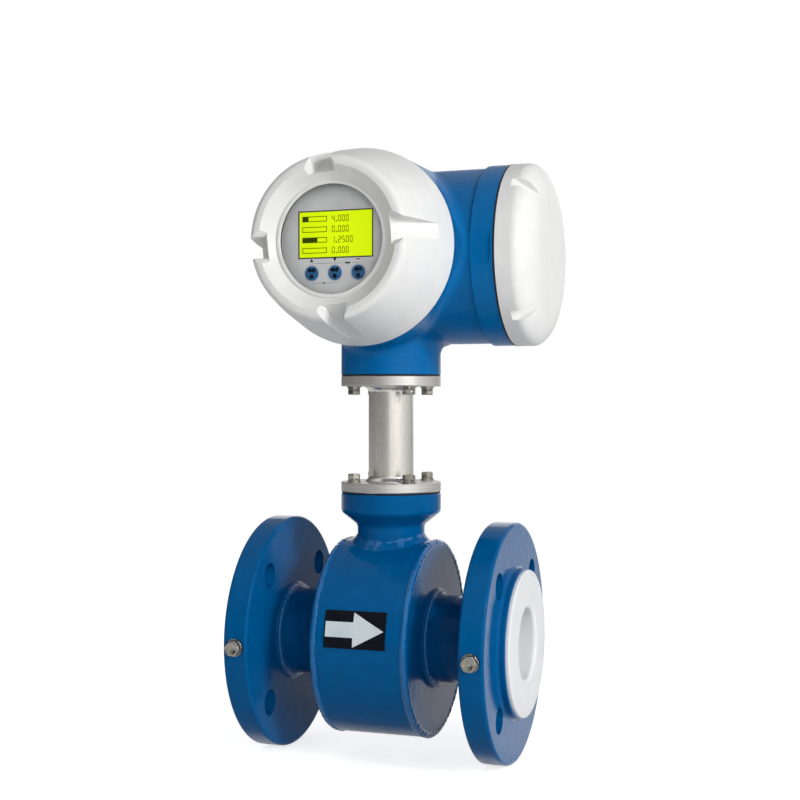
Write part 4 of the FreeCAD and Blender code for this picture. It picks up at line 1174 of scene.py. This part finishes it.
@dataclass
class DisplayUnit:
    """Panel with its print, the lit display and the three optical keys."""

    shop: Workshop
    screen_centre: Point = (0.4 * MM, 3.9 * MM)
    screen_size: Pair = (50.4 * MM, 29.6 * MM)
    screen_drop: float = 0.8 * MM
    screen_gap: float = 0.1 * MM
    # width of the painted shade ring round the display window
    shade_width: float = 0.55 * MM
    skin: float = 0.06 * MM
    hair: float = 0.02 * MM
    dot: float = 0.385 * MM
    dot_overlap: float = 1.2
    rows: tuple[str, ...] = ("4.000", "0.000", "1.2500", "0.000")
    fills: tuple[float, ...] = (0.25, 0.0, 0.6, 0.0)
    row_pitch: float = 6.75 * MM
    row_margin: float = 1.5 * MM
    figure_column: int = 55
    bar_column: int = 2
    bar_width: int = 44
    bar_height: int = 9
    light_reach: float = 30 * MM
    key_pitch: float = 16.0 * MM
    key_drop: float = 20.9 * MM
    key_r: float = 4.6 * MM
    key_proud: float = 0.2 * MM
    key_depth: float = 4.5 * MM
    key_collar: float = 1.0 * MM
    key_seat: float = 2.5 * MM
    key_round: float = 0.4 * MM
    mark_rise: float = 8.4 * MM
    mark_half: float = 1.2 * MM
    rule_half: float = 0.09 * MM
    rule_rise: float = 6.2 * MM
    rule_drop: float = 6.3 * MM
    red_half: Pair = (1.3 * MM, 0.45 * MM)
    eye_depth: float = 0.05 * MM
    eye_spots: tuple[Triple, ...] = (
        (-1.3 * MM, 1.9 * MM, 1.35 * MM), (1.3 * MM, 1.9 * MM, 1.35 * MM), (0.0, -2.0 * MM, 1.45 * MM))
    halo_rings: Pair = (0.1 * MM, 0.9 * MM)

    @property
    def front(self) -> float:
        """Height of the panel's face on the display's own axis."""
        return -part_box("display_panel")[0].y

    def build(self) -> None:
        """Dresses the nodes and adds screen, keys and print."""
        finishes = self.shop.finishes
        finishes.dress(Look.PANEL, "display_panel")
        finishes.dress(Look.CASE, "display_case", "lcd_module")
        self.screen()
        self.window_shade_ring()
        self.figures()
        self.keys()
        self.print_marks()

    def fit(self, name: str, mesh: bpy.types.Mesh, look: Union[Look, Finish], slot: str,
            replaces: Sequence[str] = ()) -> None:
        """Fits a piece drawn in the display's own axes."""
        self.shop.fit(name, mesh, display_axis(), look, Body.METER, slot, replaces)

    def screen_box(self, margin: float = 0.0) -> list[Point]:
        """Outline of the display window, grown by a margin."""
        x, y = self.screen_centre
        half_w, half_h = self.screen_size[0] / 2 + margin, self.screen_size[1] / 2 + margin
        return box_outline(x - half_w, x + half_w, y - half_h, y + half_h)

    def screen(self) -> None:
        """The lit face of the display."""
        face = self.front - self.screen_drop
        centre = display_axis() @ Vector((*self.screen_centre, face))
        light = Backlight("lit_display", linear(216, 242, 12), linear(204, 232, 10),
                          tuple(centre), self.light_reach)
        mesh = prism("lcd_screen", self.screen_box(-self.screen_gap), face, face + self.skin)
        self.fit("lcd_screen", mesh, light, "display_yellow")

    def window_shade_ring(self) -> None:
        """Near-black ring round the edge of the display window: painted shade that stands in for the shadow
        inside the window's recess.
        """
        mesh = prism("lcd_window_painted_shade", self.screen_box(self.shade_width), self.front,
                     self.front + self.skin, [self.screen_box(-self.shade_width / 2)])
        self.fit("lcd_window_painted_shade", mesh, Look.WINDOW_SHADE, "case_grey")

    def figures(self) -> None:
        """Rows of figures and level bars, as dots of the display."""
        face = self.front - self.screen_drop + 1.5 * self.skin
        points: list[tuple[float, float, float]] = []
        top = self.screen_centre[1] + (len(self.rows) - 1) / 2 * self.row_pitch
        for row, (figures, fill) in enumerate(zip(self.rows, self.fills)):
            base = top - row * self.row_pitch - FIGURE_MIDDLE * self.dot
            dots = [*figure_dots(figures, self.figure_column),
                    *bar_dots(self.bar_column, self.bar_width, self.bar_height, fill)]
            left = self.screen_centre[0] - self.screen_size[0] / 2 + self.row_margin
            points += [(left + column * self.dot, base + line * self.dot, face)
                       for column, line in dots]
        seed = bpy.data.meshes.new("figure_points")
        seed.from_pydata(points, [], [])
        mesh = self.shop.recipes.grow("lcd_figures", self.shop.recipes.dots, {
            "Dot": self.dot_overlap * self.dot, "Thickness": self.skin}, seed)
        self.fit("lcd_figures", mesh, Look.LCD_INK, "display_yellow")

    def keys(self) -> None:
        """Three lenses, each over a wide and a round dark eye, in a pale ring."""
        lens_front = self.front + self.key_proud
        back = self.front - self.key_depth
        seat = self.front - self.key_seat
        collar_r = self.key_r + self.key_collar
        lens = [(0.0, back), (collar_r, back), (collar_r, seat), (self.key_r, seat),
                (self.key_r, self.front), (self.key_r - self.key_round, lens_front - self.hair),
                (0.0, lens_front)]
        lenses, eyes, halos = [], [], []
        for step in (-1, 0, 1):
            place = Matrix.Translation((step * self.key_pitch, -self.key_drop, 0.0))
            for group, meshes in ((lenses, [turned("lens", lens, KEY_SIDES)]), (eyes, self.eyes(lens_front)),
                                  (halos, [self.halo()])):
                for mesh in meshes:
                    mesh.transform(place)
                    group.append(mesh)
        self.fit("optical_key_lenses", joined("lenses", lenses), Look.KEY, "key_blue", ["optical_keys"])
        self.fit("optical_key_eyes", joined("eyes", eyes), Look.KEY_EYE, "key_blue")
        self.fit("optical_key_rings", joined("rings", halos), Look.KEY_HALO, "panel_grey")

    def eyes(self, face: float) -> list[bpy.types.Mesh]:
        """Dark windows of one key: two that touch above and one below."""
        back, top = face - self.eye_depth, face + self.hair
        return [prism("eye", ring_points(radius, EYE_SIDES, x, y), back, top)
                for x, y, radius in self.eye_spots]

    def halo(self) -> bpy.types.Mesh:
        """Pale printed ring round one key."""
        inner, outer = (ring_points(self.key_r + gap, KEY_SIDES) for gap in self.halo_rings)
        return prism("halo", outer, self.front, self.front + self.skin / 2, [inner])

    def print_marks(self) -> None:
        """Up and down marks over two keys, a short red mark over the third, and thin rules."""
        high = self.key_pitch
        over = self.mark_rise - self.key_drop
        size = self.mark_half
        up = [(-high - size, over - size), (-high + size, over - size), (-high, over + size)]
        down = [(-size, over + size), (0.0, over - size), (size, over + size)]
        rule = self.rule_half
        upper, lower = self.rule_rise - self.key_drop, -self.rule_drop - self.key_drop
        # left end, right end, height and half thickness of each rule and its short bold bar
        rules = [(-high, 5.6 * MM, upper, rule), (7.0 * MM, 10.6 * MM, upper, 0.5 * MM),
                 (11.8 * MM, high, upper, rule), (-high, -9.6 * MM, lower, rule),
                 (-8.6 * MM, -6.4 * MM, lower, 0.35 * MM), (-5.2 * MM, 0.0, lower, rule)]
        bars = [box_outline(left, right, at - half, at + half) for left, right, at, half in rules]
        dark = [prism("mark", outline, self.front, self.front + self.skin)
                for outline in (up, down, *bars)]
        self.fit("panel_marks", joined("marks", dark), Look.PRINT_DARK, "panel_grey")
        half_w, half_h = self.red_half
        red = box_outline(high - half_w, high + half_w, over - half_h, over + half_h)
        self.fit("panel_red_mark", prism("red", red, self.front, self.front + self.skin),
                 Look.PRINT_RED, "panel_grey")


def figure_dots(figures: str, start: int) -> list[tuple[int, int]]:
    """Dots of a row of figures.

    Args:
        figures: digits and points.
        start: column of the first dot.

    Returns:
        Columns and lines of the dots.
    """
    strokes = {"a": [(n, 10) for n in (1, 2, 3)], "b": [(4, n) for n in (6, 7, 8, 9)],
               "c": [(4, n) for n in (1, 2, 3, 4)], "d": [(n, 0) for n in (1, 2, 3)],
               "e": [(0, n) for n in (1, 2, 3, 4)], "f": [(0, n) for n in (6, 7, 8, 9)],
               "g": [(n, 5) for n in (1, 2, 3)]}
    dots = []
    column = start
    for figure in figures:
        if figure == ".":
            dots += [(column, 0), (column + 1, 0), (column, 1), (column + 1, 1)]
            column += POINT_STEP
        else:
            dots += [(column + x, y) for stroke in SEGMENTS[figure] for x, y in strokes[stroke]]
            column += FIGURE_STEP
    return dots


def bar_dots(start: int, width: int, height: int, fill: float) -> list[tuple[int, int]]:
    """Dots of a level bar: its outline, and its left part filled."""
    filled = start + fill * width
    return [(x, y + 1) for x in range(start, start + width) for y in range(height)
            if x in (start, start + width - 1) or y in (0, height - 1) or x < filled]


@dataclass
class Covers:
    """Both screw covers, the window with its gasket and ring, and the terminal seal's edge."""

    shop: Workshop
    lip_proud: float = 0.1 * MM
    lip_depth: float = 1.0 * MM
    lip_spread: float = 0.35 * MM
    lip_round: float = 0.3 * MM
    lip_flat: float = 0.4 * MM
    lip_steps: int = 128

    def build(self) -> None:
        """Dresses the covers."""
        finishes = self.shop.finishes
        finishes.dress(Look.WHITE_PAINT, "display_cover", "terminal_cover")
        finishes.dress(Look.GLASS, "window_glass")
        finishes.dress(Look.RUBBER, "window_gasket")
        finishes.dress(Look.CASE, "window_retaining_ring")
        self.seal_lip()

    def seal_lip(self) -> None:
        """Rounded edge of the rubber ring that shows between the housing and the terminal cover."""
        low, high = (corner.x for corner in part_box("terminal_cover_seal"))
        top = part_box("terminal_cover")[1].y + self.lip_proud
        shoulder, root, middle = top - self.lip_round, top - self.lip_depth, (low + high) / 2
        outline = [(root, low), (shoulder, low - self.lip_spread), (top, middle - self.lip_flat / 2),
                   (top, middle + self.lip_flat / 2), (shoulder, high + self.lip_spread), (root, high)]
        lip = turned("terminal_seal_lip", outline, self.lip_steps)
        self.shop.fit("terminal_seal_lip", lip, terminal_axis(), Look.RUBBER, Body.TERMINAL_SEAL,
                      "black_rubber")


# ---------------------------------------------------------------- studio

@dataclass
class Softbox:
    """One square lamp that looks at the meter.

    Its light is the share of full white that it gives a face turned to it.
    """

    name: str
    azimuth: float
    elevation: float
    distance: float
    size: float
    light: float
    in_gloss: bool = True

    def build(self, target: Vector) -> None:
        """Hangs the lamp round the target, at its azimuth and elevation in degrees."""
        across, up = math.radians(self.azimuth), math.radians(self.elevation)
        away = Vector((math.sin(across) * math.cos(up), -math.cos(across) * math.cos(up),
                       math.sin(up)))
        data = bpy.data.lights.new(self.name, "AREA")
        data.shape = "SQUARE"
        data.size = self.size
        data.energy = self.light * (math.pi * self.distance) ** 2
        lamp = bpy.data.objects.new(self.name, data)
        lamp.visible_glossy = self.in_gloss
        bpy.context.scene.collection.objects.link(lamp)
        lamp.location = target + away * self.distance
        lamp.rotation_euler = away.to_track_quat("Z", "Y").to_euler()


@dataclass
class Studio:
    """Floor, white surroundings, lamps and camera."""

    floor_half: float = 12.0
    floor_grain: float = 6.0
    azimuth: float = 19.7
    distance: float = 0.98445
    height: float = 0.1671
    lens: float = 62.34
    shift_x: float = 0.01115
    sensor: float = 36.0
    nearest: float = 0.02
    target: Triple = (0.0, 0.0, 0.12)
    ambient: float = 0.17
    # name, azimuth, elevation, distance, size and light
    lamps: tuple[Softbox, ...] = (
        Softbox("key_softbox", 66.0, 17.0, 1.8, 1.0, 0.44, in_gloss=False),
        Softbox("front_softbox", 34.0, 10.0, 2.0, 0.9, 0.23, in_gloss=False),
        Softbox("sparkle_softbox", 63.0, 21.0, 1.8, 0.16, 0.22),
        Softbox("left_softbox", -52.0, 8.0, 2.0, 1.1, 0.16, in_gloss=False),
        Softbox("back_softbox", 200.0, 25.0, 2.0, 1.2, 0.3, in_gloss=False),
    )
    gloss_low: float = 0.08
    # azimuth, half angle at full and at no strength, all in degrees, and strength
    glows: tuple[tuple[float, float, float, float], ...] = (
        (190.0, 24.0, 30.0, 1.0), (36.0, 18.0, 32.0, 1.4))
    gloss_from: Triple = (0.5, -0.1, 0.86)
    gloss_full: float = 0.6
    paper: Pair = (0.72, 0.76)
    floor_lift: float = 0.74
    floor_in_gloss: float = 0.35
    fade: Pair = (0.35, 1.2)

    def build(self, low_z: float) -> None:
        """Sets up the studio.

        Args:
            low_z: height of the floor.
        """
        self.floor(low_z)
        self.surroundings()
        for lamp in self.lamps:
            lamp.build(Vector(self.target))
        self.camera()
        bpy.context.scene.view_settings.view_transform = "Standard"

    def floor(self, low_z: float) -> None:
        """Pale floor that keeps the meter's shadow and runs out into white."""
        half = self.floor_half
        mesh = bpy.data.meshes.new("studio_floor")
        corners = [(x, y, low_z) for x, y in box_outline(-half, half, -half, half)]
        mesh.from_pydata(corners, [], [(0, 1, 2, 3)])
        floor = link("studio_floor", mesh)
        floor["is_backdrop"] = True
        material = bpy.data.materials.new("pale_floor")
        tree = emptied(material)
        place = tree.add("ShaderNodeTexCoord").outputs["Object"]
        grain = tree.add("ShaderNodeTexNoise", {
            "Vector": place, "Scale": self.floor_grain, "Detail": 2.0})
        tint = tree.blend(grain.outputs["Fac"], *(opaque((grey, grey, grey)) for grey in self.paper))
        paper = tree.add("ShaderNodeBsdfDiffuse", {"Color": tint})
        white = tree.add("ShaderNodeEmission", {"Color": WHITE, "Strength": 1.0})
        lift = tree.add("ShaderNodeEmission", {"Color": WHITE, "Strength": self.floor_lift})
        lit = tree.add("ShaderNodeAddShader", {0: paper.outputs[0], 1: lift.outputs[0]})
        flat = tree.vector("MULTIPLY", place, (1.0, 1.0, 0.0)).outputs["Vector"]
        away = tree.ramp(tree.vector("LENGTH", flat).outputs["Value"], *self.fade, 0.0, 1.0)
        seen_floor = tree.add("ShaderNodeMixShader", {0: away, 1: lit.outputs[0], 2: white.outputs[0]})
        mix = tree.add("ShaderNodeMixShader", {
            0: self.seen(tree, self.floor_in_gloss), 1: paper.outputs[0], 2: seen_floor.outputs[0]})
        output = tree.add("ShaderNodeOutputMaterial")
        tree.join(mix.outputs[0], output.inputs["Surface"])
        mesh.materials.append(material)

    @staticmethod
    def seen(tree: Tree, in_gloss: float) -> Socket:
        """One for rays that see it directly or through glass, and a share of one in gloss."""
        path = tree.add("ShaderNodeLightPath").outputs
        gloss = tree.math("MULTIPLY", path["Is Glossy Ray"], in_gloss)
        either = tree.math("MAXIMUM", path["Is Camera Ray"], gloss)
        return tree.math("MAXIMUM", either, path["Is Transmission Ray"])

    def surroundings(self) -> None:
        """World: white where seen, brighter from above and the outlet side in gloss, else even grey."""
        world = bpy.data.worlds.new("white_surroundings")
        bpy.context.scene.world = world
        tree = emptied(world)
        way = tree.add("ShaderNodeTexCoord").outputs["Generated"]
        side = tree.vector("DOT_PRODUCT", way, self.gloss_from).outputs["Value"]
        bright = tree.ramp(side, 0.0, self.gloss_full, self.gloss_low, 1.0)
        for azimuth, inner, outer, strength in self.glows:
            turn = math.radians(azimuth)
            towards = (math.sin(turn), -math.cos(turn), 0.0)
            near = tree.vector("DOT_PRODUCT", way, towards).outputs["Value"]
            edge, full = math.cos(math.radians(outer)), math.cos(math.radians(inner))
            glow = tree.ramp(near, edge, full, 0.0, 1.0)
            bright = tree.math("MAXIMUM", bright, tree.math("MULTIPLY", glow, strength))
        gloss = tree.add("ShaderNodeBackground", {"Color": WHITE, "Strength": bright})
        light = tree.add("ShaderNodeBackground", {"Color": WHITE, "Strength": self.ambient})
        white = tree.add("ShaderNodeBackground", {"Color": WHITE, "Strength": 1.0})
        path = tree.add("ShaderNodeLightPath").outputs
        dull = tree.add("ShaderNodeMixShader", {
            0: path["Is Glossy Ray"], 1: light.outputs[0], 2: gloss.outputs[0]})
        seen = tree.math("MAXIMUM", path["Is Camera Ray"], path["Is Transmission Ray"])
        mix = tree.add("ShaderNodeMixShader", {0: seen, 1: dull.outputs[0], 2: white.outputs[0]})
        output = tree.add("ShaderNodeOutputWorld")
        tree.join(mix.outputs[0], output.inputs["Surface"])

    def camera(self) -> None:
        """A level camera, a little to the outlet side of the display."""
        turn = math.radians(self.azimuth)
        data = bpy.data.cameras.new("view")
        data.lens = self.lens
        data.sensor_width = self.sensor
        data.shift_x = self.shift_x
        data.clip_start = self.nearest
        camera = bpy.data.objects.new("view", data)
        bpy.context.scene.collection.objects.link(camera)
        camera.location = (math.sin(turn) * self.distance, -math.cos(turn) * self.distance,
                           self.height)
        camera.rotation_euler = (math.radians(90.0), 0.0, turn)
        bpy.context.scene.camera = camera


# ---------------------------------------------------------------- the meter


def main() -> None:
    """Builds every sub-assembly in order, then the studio."""
    logging.basicConfig(level=logging.INFO, format="%(message)s")
    frame_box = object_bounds()
    shop = Workshop()
    for part in (TubeAndHousing(shop), Neck(shop), Converter(shop), DisplayUnit(shop), Covers(shop)):
        log.info("building %s", type(part).__name__)
        part.build()
    Studio().build(frame_box[0].z)


if __name__ == "__main__":
    main()
